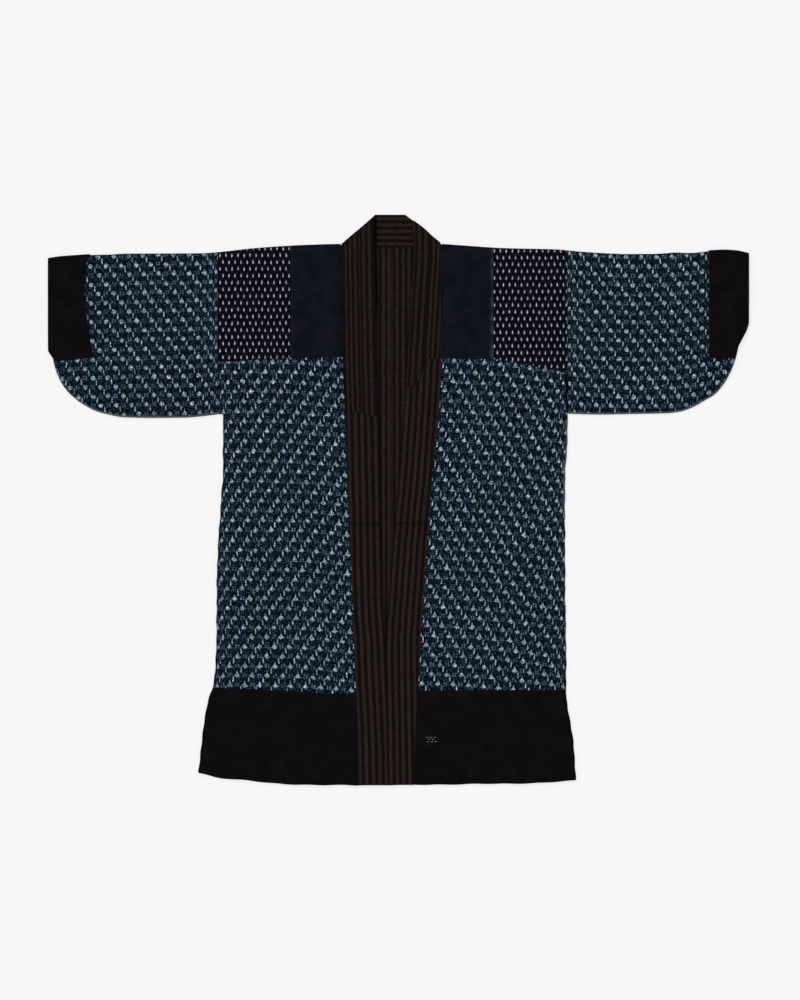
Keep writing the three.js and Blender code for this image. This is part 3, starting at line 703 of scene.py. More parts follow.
def shoulder_patch(context, name, outer_x, inner_x, back_inner, material, slot_name, fray=0):
    """A patch from an outer seam to an inner edge. back_inner(share) is the inner edge of
    the back leaf, which follows the neckline at its upper end. fray is how worn the outer
    seam is."""
    cell = cell_size(context)
    u = graded(abs(inner_x(NECK_POINT) - outer_x), cell)
    top_x = mix(outer_x, inner_x(NECK_POINT), u)
    rows = []
    for share in graded(shoulder(outer_x) - BACK_YOKE_FOOT, HIDDEN_CELL * cell):
        edge_y = mix(BACK_YOKE_FOOT + SEAM_GAP, shoulder(outer_x) - FOLD_RADIUS, share)
        inner_at_x, inner_at_y = back_inner(share)
        x = mix(outer_x, inner_at_x, u)
        y = shoulder(top_x) - FOLD_RADIUS if share == 1 else mix(edge_y, inner_at_y, u)
        raised = ridges(BACK_FOLDS, x, y) * smooth(shoulder(x) - y, 4, 30)
        rows.append((stack(x, y, np.minimum(raised, 1.0)), stack(x, y, WALL)))
    rows += fold_rows(top_x, shoulder(top_x), 0, WALL)
    edges = Edges(
        lambda y: outer_x + 0 * y, inner_x,
        lambda x: yoke_seam(x) + SEAM_GAP, lambda x: shoulder(x) - FOLD_RADIUS,
    )  # fmt: skip
    x, y = place(edges, u, 1 - graded(shoulder(outer_x) - yoke_seam(outer_x), cell))
    sunk = sum(
        dip(distance, SEAM_DIP, SEAM_RUN)
        for distance in (np.abs(x - outer_x), np.abs(inner_x(y) - x), y - yoke_seam(x))
    )
    low = np.maximum(body_low(x, y) + crumpled(x, y, body_fade(x, y)), WALL + LEAST_LOFT)
    outer, inner = walls(rows)
    outer = np.concatenate([outer, stack(x, y, low + WALL - sunk)], 1)
    inner = np.concatenate([inner, stack(x, y, low)], 1)
    # The grain is level on the front leaf and goes on round the fold to the back one.
    along = laid_along(outer)
    at_top = along[:, len(rows) - len(FOLD_TURNS) // 2 - 1][:, None]
    start_x, start_y = DOT_START["left" if outer_x < 0 else "right"]
    level = shoulder(top_x)[:, None] + at_top - along
    grain = stack(outer[..., 0] - start_x, level - start_y)
    # Real fraying along the outer seam, in dashes, and painted shade along the top where the cloth
    # turns over the shoulder.
    fray_and_shadow = 0.6 + 0.4 * np.sin(outer[..., 1] / 5.1 + 2 * np.sin(outer[..., 1] / 17))
    wear_and_shade = fray * fray_and_shadow * dip(outer[..., 0] - outer_x, FRAY_PALE, FRAY_RUN)
    wear_and_shade = wear_and_shade + painted_outline_shade(shoulder(top_x)[:, None] - outer[..., 1])
    piece = cloth_piece(name, outer, inner, grain, wear_and_shade=wear_and_shade)
    width, length = float(np.ptp(grain[..., 0])), float(along.max())
    area = area_of(grain[..., 0], grain[..., 1])
    fit(piece, name, slot_name, material, width, length, area, ["floor"])


def make_patches(context, half):
    """The dotted patch beside the armhole and the navy one beside the neck."""
    towards_neck = 1 if half == "left" else -1
    seam = YOKE_SEAM[half]
    dots_inner = seam - towards_neck * SEAM_GAP

    def dots_up(share):
        return dots_inner, mix(BACK_YOKE_FOOT + SEAM_GAP, shoulder(seam) - FOLD_RADIUS, share)

    shoulder_patch(
        context, f"yoke_dots_{half}", ARMHOLE[half] + towards_neck * SEAM_GAP,
        lambda y: dots_inner + 0 * y, dots_up, dotted_cotton(), "dotted_cotton",
    )  # fmt: skip
    centre = CENTRE - towards_neck * SEAM_GAP

    def front_inner(y):
        return collar_outer[half](np.minimum(y, NECK_POINT)) - towards_neck * SEAM_GAP

    def navy_up(share):
        climb = min(1, share / NAVY_BEND)
        if climb < 1:
            return centre, mix(BACK_YOKE_FOOT + SEAM_GAP, NECK_MIDDLE, climb)
        x = mix(centre, front_inner(NECK_POINT), (share - NAVY_BEND) / (1 - NAVY_BEND))
        return x, neckline(x)

    shoulder_patch(
        context, f"yoke_navy_{half}", seam + towards_neck * SEAM_GAP,
        front_inner, navy_up, navy_cotton(), "navy_cotton", NAVY_FRAY[half],
    )  # fmt: skip


# ---- Sleeves and cuffs ----
CUFF_REST = CUFF_WALL + COVER_GAP
LIFT_MARGIN = 26.0
LIFT_RUN = 40.0
CORNER_CROWDING = 1.6  # how much closer the cells stand towards a sleeve's rounded corner
SLEEVE_HIGHEST = 1.1  # how far the underside of a sleeve's lower layer rises at most
CUFF_HIGHEST = 0.4
# Painted light at the foot of a sleeve: a pale strip on its fold, which is the floor's shadow painted
# on the cloth, more so near the mouth, and painted shade in the hollow above the fold.
FOOT_FLOOR_SHADOW = {"armhole": 0.35, "mouth": 0.9}
HOLLOW_DEPTH, HOLLOW_AT, HOLLOW_RUN = 0.45, 7.0, 3.2


def on_cuff(sleeve, x, y):
    """1 where a sleeve lies on its cuff band, falling to 0 clear of it."""
    inside = sleeve.side * (x - sleeve.inner) + LIFT_MARGIN
    above = y - sleeve.cuff_outer + LIFT_MARGIN
    return smooth(inside, -LIFT_RUN, 0) * smooth(above, -LIFT_RUN, 0)


def sleeve_rest(sleeve, x, y):
    """How far a sleeve is lifted off the floor."""
    return CUFF_REST * on_cuff(sleeve, x, y)


def sleeve_low(sleeve, x, y):
    """The underside of a sleeve's upper layer, without its small creases."""
    lofted = (BASE_LOFT + ridges(FOLDS, x, y)) * sleeve_fade(x, y, sleeve.half)
    return sleeve_rest(sleeve, x, y) + WALL + LAYER_GAP + lofted


def make_sleeve(context, half):
    """A tube round from its lower layer over the top and back under its foot."""
    sleeve = SLEEVES[half]
    cell = cell_size(context)
    start, end = sleeve.seam + sleeve.side * SEAM_GAP, sleeve.end - sleeve.side
    length = abs(end - start)
    shares = 1 - (1 - graded(length, cell)) ** CORNER_CROWDING
    x = mix(start, end, shares)
    top = shoulder(x) - CUFF_REST * on_cuff(sleeve, x, shoulder(x))
    foot = sleeve_feet[half](x)
    height = float(np.ptp(np.concatenate([top, foot])))
    beside_seam = np.abs(x - sleeve.seam)
    rows = []
    lower_count = round(height / (HIDDEN_CELL * cell))
    for up in np.linspace(0, 1, lower_count):
        y = mix(foot + FOLD_RADIUS, top - FOLD_RADIUS, up)
        rest = sleeve_rest(sleeve, x, y)
        raised = ridges(BACK_FOLDS, x, y) * smooth(np.minimum(y - foot, top - y), 4, 26)
        raised = np.minimum(raised + dip(beside_seam, 0.6, SEAM_RUN), SLEEVE_HIGHEST)
        rows.append((stack(x, y, rest + raised), stack(x, y, rest + WALL)))
    rows += fold_rows(x, top, sleeve_rest(sleeve, x, top), WALL)
    for up in 1 - graded(height, cell, FOLDED_ROWS):
        y = mix(foot + FOLD_RADIUS, top - FOLD_RADIUS, up)
        fade = sleeve_fade(x, y, half)
        least = sleeve_rest(sleeve, x, y) + WALL + LEAST_LOFT
        low = np.maximum(sleeve_low(sleeve, x, y) + crumpled(x, y, fade), least)
        pucker = dip(beside_seam, PUCKER, PUCKER_RUN) * np.sin(y / 2.9) * fade
        sunk = dip(beside_seam, SEAM_DIP, SEAM_RUN)
        rows.append((stack(x, y, low + WALL - sunk + pucker), stack(x, y, low)))
    rows += fold_rows(x, foot, sleeve_rest(sleeve, x, foot), WALL, way=-1)
    outer, inner = walls(rows)
    # The grain follows the cloth round the sleeve, from the place where the front row lies.
    along = laid_along(np.concatenate([outer, outer[:, :1]], 1))
    at_top = along[:, lower_count + len(FOLD_TURNS) // 2][:, None]
    grain = stack(*sleeve_grain(half, x[:, None], top[:, None] + at_top - along))
    slant = np.hypot(1, np.gradient(foot, x))[:, None]
    away = (outer[..., 1] - foot[:, None]) / slant
    near_end = smooth(np.abs(x - sleeve.end), 20, 110)[:, None]
    # The pale strip is the floor's shadow painted on the fold; the hollow above it and the top get
    # painted shade.
    pale = mix(FOOT_FLOOR_SHADOW["armhole"], FOOT_FLOOR_SHADOW["mouth"], near_end) * (1 - smooth(away, 2.2, 4.4))
    hollow = HOLLOW_DEPTH * dip(away - HOLLOW_AT, 1, HOLLOW_RUN) * near_end
    wear_and_shade = pale - hollow + painted_outline_shade(top[:, None] - outer[..., 1])
    if half == "right":
        wear_and_shade = wear_and_shade + 1.4 * armhole_shade((x - sleeve.seam)[:, None] + 0.6, outer[..., 1])
    name = f"sleeve_{half}"
    piece = cloth_piece(name, outer, inner, grain, is_tube=True, wear_and_shade=wear_and_shade)
    middles = (top - foot)[1:] + (top - foot)[:-1]
    area = float((middles * np.abs(np.diff(x))).sum()) * MM * MM
    finish = "kasuri_cotton", kasuri_cotton("sleeves")
    fit(piece, name, *finish, 2 * height, length, area, ["floor"])


def make_cuff(context, half):
    """A band round the mouth of a sleeve, folded over its top."""
    sleeve = SLEEVES[half]
    cell = cell_size(context)
    radius = FOLD_RADIUS + CUFF_REST
    width = abs(sleeve.end - sleeve.inner)
    u = graded(width, cell)
    top_x = mix(sleeve.inner, sleeve.end, u)

    def leaf(up, inner=sleeve.inner):
        outer = mix(sleeve.cuff_corner, sleeve.end, smooth(up, 0, sleeve.lean))
        x = mix(inner, outer, u)
        y = mix(mix(sleeve.cuff_foot, sleeve.cuff_outer, u), shoulder(x) - radius, up)
        return x, y

    height = float(shoulder(sleeve.inner) - sleeve.cuff_foot)
    rows = []
    for up in graded(height, HIDDEN_CELL * cell):
        x, y = leaf(up)
        raised = np.minimum(0.25 * np.abs(unevenness(x, y)), CUFF_HIGHEST)
        rows.append((stack(x, y, raised), stack(x, y, CUFF_WALL)))
    rows += fold_rows(top_x, shoulder(top_x), 0, CUFF_WALL, radius)
    sewn_edge = curve(CUFF_EDGE) if half == "left" else lambda y: sleeve.inner
    for up in 1 - graded(height, cell):
        level = mix(sleeve.cuff_foot, float(shoulder(sleeve.inner)) - radius, up)
        x, y = leaf(up, mix(sewn_edge(level), sleeve.inner, smooth(up, 0.97, 1)))
        creased = np.maximum(crumpled(x, y, sleeve_fade(x, y, half)), -LAYER_GAP)
        low = sleeve_low(sleeve, x, y) + creased + WALL + LAYER_GAP / 2
        edge = np.minimum(np.abs(x - sleeve.inner), y - sleeve.cuff_foot + 2)
        pucker = 0.12 * np.sin(y / 3.3) * dip(edge, 1, 6)
        rows.append((stack(x, y, low + CUFF_WALL + pucker), stack(x, y, low)))
    outer, inner = walls(rows)
    along = laid_along(outer)
    grain = stack(outer[..., 0], along[:, -1:] - along)
    name = f"cuff_{half}"
    piece = cloth_piece(name, outer, inner, grain)
    finish = "black_cotton", black_cotton()
    area = area_of(grain[..., 0], grain[..., 1])
    fit(piece, name, *finish, width, float(along.max()), area, [f"sleeve_{half}"])


# ---- Collar ----
LINING_LOW = WALL + LAYER_GAP
BAND_LOW = LINING_LOW + THIN_WALL + LAYER_GAP
BESIDE_LINING = 0.4
LINING_END, LINING_RUN, NECK_RUN = 10.0, 50.0, 25.0
STRIPE_PITCH = 11.5  # between the collar's stripes, as they are charted
# How far apart the bands' stripes lie on the two fronts and behind the neck.
BAND_PITCH = {"left": 11.75, "right": 11.15, "neck": 11.3}
NECK_STRIPE = 501.1  # the middle of one stripe behind the neck
BAND_WAVES = 0.22
LEAN_RUN = (270, 470)  # how far below the origin the stripes' lean starts and is full
COLLAR_FOLD = 0.6  # how dark the painted shade in the one fold across the bands is
COVER_SHORT = 3.0  # how much lower than the band its cover ends at the neck
# The shade beside the left band: its least and full strength, and where it grows between them.
BAND_SHADE, BAND_SHADE_RUN = (0.45, 1.0), (300, 360)
BAND_FLAT_WIDTH = 60
NECK_SPAN = (175, 58)
NECK_FLAT = (176, 59)  # with what its crown takes up
LINING_FLAT = (117, 799)


def band_low(across, y):
    """The underside of a band, which sinks beside the lining and past its lower end."""
    below_neck = 1 - smooth(y, NECK_MIDDLE - 1.2 * NECK_RUN, NECK_MIDDLE - 0.2 * NECK_RUN)
    beside = below_neck * (1 - smooth(across, 0, BESIDE_LINING))
    sinks = LINING_BOTTOM - LINING_END
    below = 1 - smooth(y, sinks - LINING_RUN, sinks)
    return mix(BAND_LOW, LINING_LOW, np.maximum(beside, below))


def band_high(across, y):
    """The upper side of a band, which sinks half as far as its underside."""
    return (BAND_LOW + band_low(across, y)) / 2 + BAND + band_crown(across)


def beside_band(x, y):
    """Deep shade on what lies right beside the inner edge of the left band, deepest at the
    neck."""
    away = x - collar_inner["left"](y)
    strength = mix(*BAND_SHADE, smooth(y, *BAND_SHADE_RUN))
    return -strength * (1 - smooth(np.abs(away - 1.0), 1.6, 4.2))


def collar_strip(
    context, name, half, bottom, top, inset, low, high, material, pitch_share, rests_on,
    crease=0, lean=0,
):  # fmt: skip
    """A strip along the collar between two heights. bottom(share) is its lower end, across
    from the outer edge. crease is how dark the painted shade in its one fold is."""
    cell = cell_size(context)
    lowest = float(np.min(bottom(np.linspace(0, 1, 9))))
    across = graded(BAND_FLAT_WIDTH, cell * BAND_CELL, BAND_ROWS)
    across = np.clip(across, inset, 1 - inset)
    t, up = np.meshgrid(across, graded(top - lowest, cell), indexing="ij")
    y = mix(bottom(t), top, up)
    x = mix(collar_outer[half](y), collar_inner[half](y), t)
    grain_x = np.abs(collar_inner[half](y) - x) * pitch_share + lean * smooth(-y, *LEAN_RUN)
    at_slant = smooth(y, NECK_POINT - 1, NECK_POINT + 5)
    # Painted shade where the cloth turns away at the slants, and in the one fold.
    wear_and_shade = painted_outline_shade(0.75 * np.abs(x - collar_outer[half](y))) * at_slant
    wear_and_shade = wear_and_shade - crease * dip(y - COLLAR_CREASE, 1, 3.0)
    outer, inner = stack(x, y, high(t, y)), stack(x, y, low(t, y))
    piece = cloth_piece(name, outer, inner, stack(grain_x, y), wear_and_shade=wear_and_shade)
    width = float(np.abs(x[-1] - x[0]).max())
    finish = "striped_cotton", material
    fit(piece, name, *finish, width, top - lowest, area_of(x, y), rests_on)


def make_collar(context, half):
    """A collar band down one front and the cover on its upper part."""
    foot, top = COLLAR[half][0][0], COLLAR[half][-1][0]
    pitch_share = STRIPE_PITCH / BAND_PITCH[half]

    def high(t, y):
        crease = dip(y - COLLAR_CREASE, 0.5, 3.5)
        wavy = BAND_WAVES * unevenness(3 * y + 200 * t, y * 0.8)
        return band_high(t, y) + wavy - crease

    collar_strip(
        context, f"collar_{half}", half, lambda t: foot + 0 * t, top, 0, band_low, high,
        striped_cotton("band"), pitch_share, [f"front_{half}"], COLLAR_FOLD, STRIPE_LEAN[half],
    )  # fmt: skip

    def cover_low(t, y):
        return high(t, y) + LAYER_GAP / 2

    def cover_high(t, y):
        return cover_low(t, y) + THIN_WALL

    collar_strip(
        context, f"collar_cover_{half}", half, curve(COVER_END[half]), top - COVER_SHORT, COVER_INSET,
        cover_low, cover_high, striped_cotton(f"cover {half}"), 1, [f"collar_{half}"],
    )  # fmt: skip


def make_neck_band(context):
    """The band behind the neck, between the slanting ends of the two bands."""
    cell = cell_size(context)
    left, right = curve([row[:2] for row in NECK_SIDES]), curve([(y, x) for y, _, x in NECK_SIDES])
    top = NECK_SIDES[-1][0]
    across, up = graded(NECK_SPAN[0], cell * FINE_CELL), graded(NECK_SPAN[1], cell * BAND_CELL)
    u, v = np.meshgrid(across, up, indexing="ij")
    level = mix(NECK_POINT, top, v)
    x = mix(left(level), right(level), u)
    seam = neckline(x) + SEAM_GAP
    y = mix(seam, top, v)
    sunk = dip(y - seam, 0.9, SEAM_RUN)
    crown = 0.15 * np.sin(np.pi * v) + 0.12 * unevenness(x, 2 * y) - dip(top - y, 0.6, 2.5)
    outer = stack(x, y, NECK_BAND + crown - sunk)
    inner = stack(x, y, 0.25 * dip(top - y, 1, 4))
    stripes = (y - NECK_STRIPE + STRIPE_PITCH / 2) * STRIPE_PITCH / BAND_PITCH["neck"]
    # Painted shadow of the left band beside its inner edge, and painted shade along the top edge.
    wear_and_shade = np.minimum(beside_band(x, y), painted_outline_shade(top - y))
    piece = cloth_piece("collar_neck", outer, inner, stack(stripes, x), wear_and_shade=wear_and_shade)
    finish = "striped_cotton", striped_cotton("band")
    fit(piece, "collar_neck", *finish, *NECK_FLAT, area_of(x, y), ["floor"])


def make_lining(context):
    """The lining of the back, as far as it shows between the bands."""
    cell = cell_size(context)
    across, up = graded(LINING_FLAT[0], cell * FINE_CELL), graded(LINING_FLAT[1], cell)
    t, v = np.meshgrid(across, up, indexing="ij")
    y = mix(LINING_BOTTOM, LINING_TOP, v)
    left, right = (
        mix(collar_outer[half](y), collar_inner[half](y), LINING_UNDER) for half in HALVES
    )
    x = mix(left, right, t)
    y = mix(LINING_BOTTOM, neckline(x) - SEAM_GAP, v)
    wavy = BAND_WAVES * unevenness(1.6 * x, y) * smooth(np.minimum(t, 1 - t), 0.02, 0.3)
    low = np.maximum(LINING_LOW + wavy, LINING_LOW - LEAST_LOFT)
    outer, inner = stack(x, y, low + THIN_WALL), stack(x, y, low)
    # The lining carries the painted shadow of the left band's inner edge.
    piece = cloth_piece("back_lining", outer, inner, stack(x, y), wear_and_shade=beside_band(x, y))
    finish = "striped_cotton", striped_cotton("lining")
    fit(piece, "back_lining", *finish, *LINING_FLAT, area_of(x, y), ["back_left", "back_right"])


# ---- Stitches ----
# Overcast stitches along the collar's outer edges: the band's half, from y, to y.
OVERCAST = (
    ("left", 178, -352), ("right", 152, 84), ("right", -36, -326),
)  # fmt: skip
STITCH_PITCH = 3.7
STITCH = ((-1.7, -0.5), (-0.5, -0.1), (0.6, 0.3), (1.8, 0.7))  # one overcast stitch over an edge
OVERCAST_RADIUS, DARN_RADIUS = 0.4, 0.5
# Shares of a thread's radius: how high its middle lies over the cloth, how deep its ends go
# down and how thick they are.
THREAD_RISE, THREAD_DIVE, THREAD_END = 0.7, 1.1, 0.6
RAY_FROM = 0.1  # metres above the floor
# A small darn on the right hem band: rows of running stitches, each from a place to a place.
TACKS = (
    ((49, -422.2), (53, -421.8)), ((56, -422.6), (60, -422.3)), ((63, -422.4), (67, -422.8)),
    ((52, -426.1), (56.5, -426.5)), ((59.5, -426.4), (63.5, -426)), ((50, -430.5), (54, -430.2)),
    ((57, -430.1), (61.5, -430.5)), ((64.5, -430.4), (68, -430.2)),
)  # fmt: skip


def sewn(context, name, paths, radius, material):
    """Stitches as one mesh: a four-sided thread along each path of places in mm, lying on
    the uppermost cloth and going down into it at both ends."""
    context.view_layer.update()
    graph = context.evaluated_depsgraph_get()
    points, faces = [], []
    for path in paths:
        tops = []
        for x, y in path:
            hit, spot, *_ = context.scene.ray_cast(graph, (x * MM, y * MM, RAY_FROM), (0, 0, -1))
            if not hit:
                raise RuntimeError(f"{name} has a stitch that lies on no cloth")
            tops.append(spot.z / MM + THREAD_RISE * radius)
        line = np.column_stack([np.array(path, float), tops])
        line[[0, -1], 2] -= THREAD_DIVE * radius
        along = np.gradient(line, axis=0)
        side = np.cross(along, (0, 0, 1))
        up = np.cross(side, along)
        side /= np.linalg.norm(side, axis=1, keepdims=True)
        up /= np.linalg.norm(up, axis=1, keepdims=True)
        start, last = len(points), len(path) - 1
        for k, centre in enumerate(line):
            thick = radius * (THREAD_END if k in (0, last) else 1)
            for turn in np.radians((45, 135, 225, 315)):
                points.append(centre + thick * (math.cos(turn) * side[k] + math.sin(turn) * up[k]))
        for k in range(last):
            for a, b in ((0, 1), (1, 2), (2, 3), (3, 0)):
                ring = start + 4 * k
                faces.append((ring + a, ring + 4 + a, ring + 4 + b, ring + b))
        end = start + 4 * last
        faces += [(start, start + 1, start + 2, start + 3), (end + 3, end + 2, end + 1, end)]
    mesh = bpy.data.meshes.new(name)
    mesh.from_pydata((np.array(points) * MM).tolist(), [], faces)
    layer = mesh.uv_layers.new(name="Grain")
    places = np.array(points)[np.array(faces).ravel(), :2] * MM
    layer.uv.foreach_set("vector", places.ravel())
    mesh.shade_smooth()
    piece = bpy.data.objects.new(name, mesh)
    context.scene.collection.objects.link(piece)
    piece.data.materials.append(material)
    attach(piece, "root")


def make_stitches(context):
    """The overcast edges of the right cuff and the collar, and the darn on the hem band."""
    thread = context.scene.sewing_thread
    brown = sewing_cotton("Brown sewing cotton", (*thread.seam, 1))
    pale = sewing_cotton("Undyed sewing cotton", (*thread.tack, 1))
    cuff = SLEEVES["right"].inner
    levels = np.arange(SLEEVES["right"].cuff_foot + 4, shoulder(cuff) - 5, STITCH_PITCH)
    paths = [[(cuff + x, level + y) for x, y in STITCH] for level in levels]
    sewn(context, "stitches_cuff", paths, OVERCAST_RADIUS, brown)
    paths = []
    for half, start, end in OVERCAST:
        inward = 1 if half == "left" else -1
        for k, level in enumerate(np.arange(end, start, STITCH_PITCH)):
            edge = float(collar_outer[half](level))
            level = level + 0.3 * math.sin(5 * k)
            paths.append([(edge + inward * x, level + y) for x, y in STITCH])
    sewn(context, "stitches_collar", paths, OVERCAST_RADIUS, brown)
    paths = []
    for (ax, ay), (bx, by) in TACKS:
        bow = 0.5 * math.sin(ax)
        shares = (0, 0.3, 0.7, 1)
        bowed = [mix(ay, by, t) + bow * math.sin(math.pi * t) for t in shares]
        paths.append([(mix(ax, bx, t), y) for t, y in zip(shares, bowed)])
    sewn(context, "darn_hem", paths, DARN_RADIUS, pale)


# ---- Materials ----
def colour(hex_code):
    """An sRGB hex colour as linear RGBA."""
    parts = [int(hex_code[k : k + 2], 16) / 255 for k in (1, 3, 5)]
    return (*[c / 12.92 if c <= 0.04045 else ((c + 0.055) / 1.055) ** 2.4 for c in parts], 1)


def node(tree, kind, settings, feeds=(), out=0):
    """Adds a shader node, feeds its inputs and returns one of its outputs. settings is a dict,
    or the name of the node's operation."""
    made = tree.nodes.new("ShaderNode" + kind)
    if isinstance(settings, str):
        settings = {"operation": settings}
    for setting, value in settings.items():
        setattr(made, setting, value)
    for key, value in feeds.items() if isinstance(feeds, dict) else enumerate(feeds):
        if isinstance(value, bpy.types.NodeSocket):
            tree.links.new(value, made.inputs[key])
        elif value is not None:
            made.inputs[key].default_value = value
    return made.outputs[out] if made.outputs else None


# A Mix node set to this lays a share of one colour, input 7, over another, input 6. The share
# is its input 0 and the mixed colour its output 2.
BLEND = {"data_type": "RGBA"}


def build_cell(tree, feeds):
    """The cell of a half-drop repeat that a place lies in, and the place from its middle."""
    at, repeat, offset = feeds
    moved = node(tree, "VectorMath", "SUBTRACT", (at, offset))
    shares = node(tree, "VectorMath", "DIVIDE", (moved, repeat))
    x, y = (node(tree, "SeparateXYZ", {}, (shares,), out) for out in (0, 1))
    raised = node(tree, "Math", "ADD", (y, 0.5))
    row = node(tree, "Math", "FLOOR", (raised,))
    odd = node(tree, "Math", "FLOORED_MODULO", (row, 2))
    dropped = node(tree, "Math", "MULTIPLY_ADD", (odd, 0.5, x))
    ahead = node(tree, "Math", "ADD", (dropped, 0.5))
    column = node(tree, "Math", "FLOOR", (ahead,))
    u = node(tree, "Math", "SUBTRACT", (dropped, column))
    v = node(tree, "Math", "SUBTRACT", (y, row))
    inside = node(tree, "CombineXYZ", {}, (u, v))
    local = node(tree, "VectorMath", "MULTIPLY", (inside, repeat))
    return local, node(tree, "CombineXYZ", {}, (column, row))


def build_dab(tree, feeds):
    """An oval patch of resist with a soft edge: 1 inside and 0 outside."""
    local, centre, half = feeds
    away = node(tree, "VectorMath", "SUBTRACT", (local, centre))
    scaled = node(tree, "VectorMath", "DIVIDE", (away, half))
    length = node(tree, "VectorMath", "LENGTH", (scaled,), "Value")
    return (node(tree, "MapRange", {"interpolation_type": "SMOOTHSTEP"}, (length, 1.35, 0.65)),)


def build_threads(tree, feeds):
    """Dyed threads slip a little along their own length, so that a figure's edge is ragged."""
    at, pitch, slip = feeds
    shares = node(tree, "VectorMath", "DIVIDE", (at, pitch))
    order = node(tree, "VectorMath", "FLOOR", (shares,))
    x, y = (node(tree, "SeparateXYZ", {}, (order,), out) for out in (0, 1))
    warp = node(tree, "TexWhiteNoise", {"noise_dimensions": "1D"}, {"W": x})
    weft = node(tree, "TexWhiteNoise", {"noise_dimensions": "1D"}, {"W": y})
    both = node(tree, "CombineXYZ", {}, (weft, warp))
    centred = node(tree, "VectorMath", "SUBTRACT", (both, (0.5, 0.5, 0)))
    return (node(tree, "VectorMath", "MULTIPLY_ADD", (centred, slip, at)),)


def build_weave(tree, feeds):
    """Over and under of a plain weave, with slubs. Height from 0 to 1, and a slub share."""
    at, pitch = feeds
    turns = node(tree, "VectorMath", "DIVIDE", (at, pitch))
    angle = node(tree, "VectorMath", "SCALE", {0: turns, "Scale": 2 * math.pi})
    waves = node(tree, "VectorMath", "SINE", (angle,))
    x, y = (node(tree, "SeparateXYZ", {}, (waves,), out) for out in (0, 1))
    crossing = node(tree, "Math", "MULTIPLY", (x, y))
    height = node(tree, "Math", "MULTIPLY_ADD", (crossing, 0.5, 0.5))
    stretched = node(tree, "VectorMath", "MULTIPLY", (at, (0.9, 0.09, 1)))
    slub_warp = node(tree, "TexNoise", {}, {"Vector": stretched, "Scale": 1, "Detail": 2})
    stretched = node(tree, "VectorMath", "MULTIPLY", (at, (0.09, 0.9, 1)))
    slub_weft = node(tree, "TexNoise", {}, {"Vector": stretched, "Scale": 1, "Detail": 2})
    slubs = node(tree, "Math", "ADD", (slub_warp, slub_weft))
    return height, node(tree, "Math", "SUBTRACT", (slubs, 0.5))


# The node groups: what draws each one, the names of its inputs, which are all vectors, and its
# outputs.
DRAWN = {
    "Half-drop cell": (build_cell, "Place Repeat Offset", {"Local": "Vector", "Cell": "Vector"}),
    "Dyed dab": (build_dab, "Local Centre Half", {"Mask": "Float"}),
    "Slipped threads": (build_threads, "Place Pitch Slip", {"Place": "Vector"}),
    "Plain weave": (build_weave, "Place Pitch", {"Height": "Float", "Slubs": "Float"}),
}


def drawn(name):
    """A node group, built once, as the setting of a Group node."""
    if name in bpy.data.node_groups:
        return {"node_tree": bpy.data.node_groups[name]}
    build, inputs, outputs = DRAWN[name]
    tree = bpy.data.node_groups.new(name, "ShaderNodeTree")
    for label in inputs.split():
        tree.interface.new_socket(name=label, in_out="INPUT", socket_type="NodeSocketVector")
    for label, kind in outputs.items():
        tree.interface.new_socket(name=label, in_out="OUTPUT", socket_type="NodeSocket" + kind)
    start = tree.nodes.new("NodeGroupInput")
    made = build(tree, [start.outputs[label] for label in inputs.split()])
    end = tree.nodes.new("NodeGroupOutput")
    for socket, value in zip(end.inputs, made):
        tree.links.new(value, socket)
    return {"node_tree": tree}


def start_cotton(name):
    """An empty cotton material and the place on its cloth in mm."""
    material = bpy.data.materials.new(name)
    material.use_nodes = True
    tree = material.node_tree
    tree.nodes.clear()
    grain = node(tree, "UVMap", {"uv_map": "Grain"})
    at = node(tree, "VectorMath", "SCALE", {0: grain, "Scale": 1 / MM})
    return material, tree, at


# Pale grey of real fraying, also used for the floor's shadow painted on the cloth's edges.
FRAY_AND_SHADOW_GREY = "#55585d"
DEEPEST = 0.15  # what is left of the tone under the deepest painted shade, deep in a fold
WEAVE_DEPTH = 0.0003
COTTON_IOR = 1.53
COTTON_SPECULAR = 0.01
NAP_ROUGHNESS = 0.6


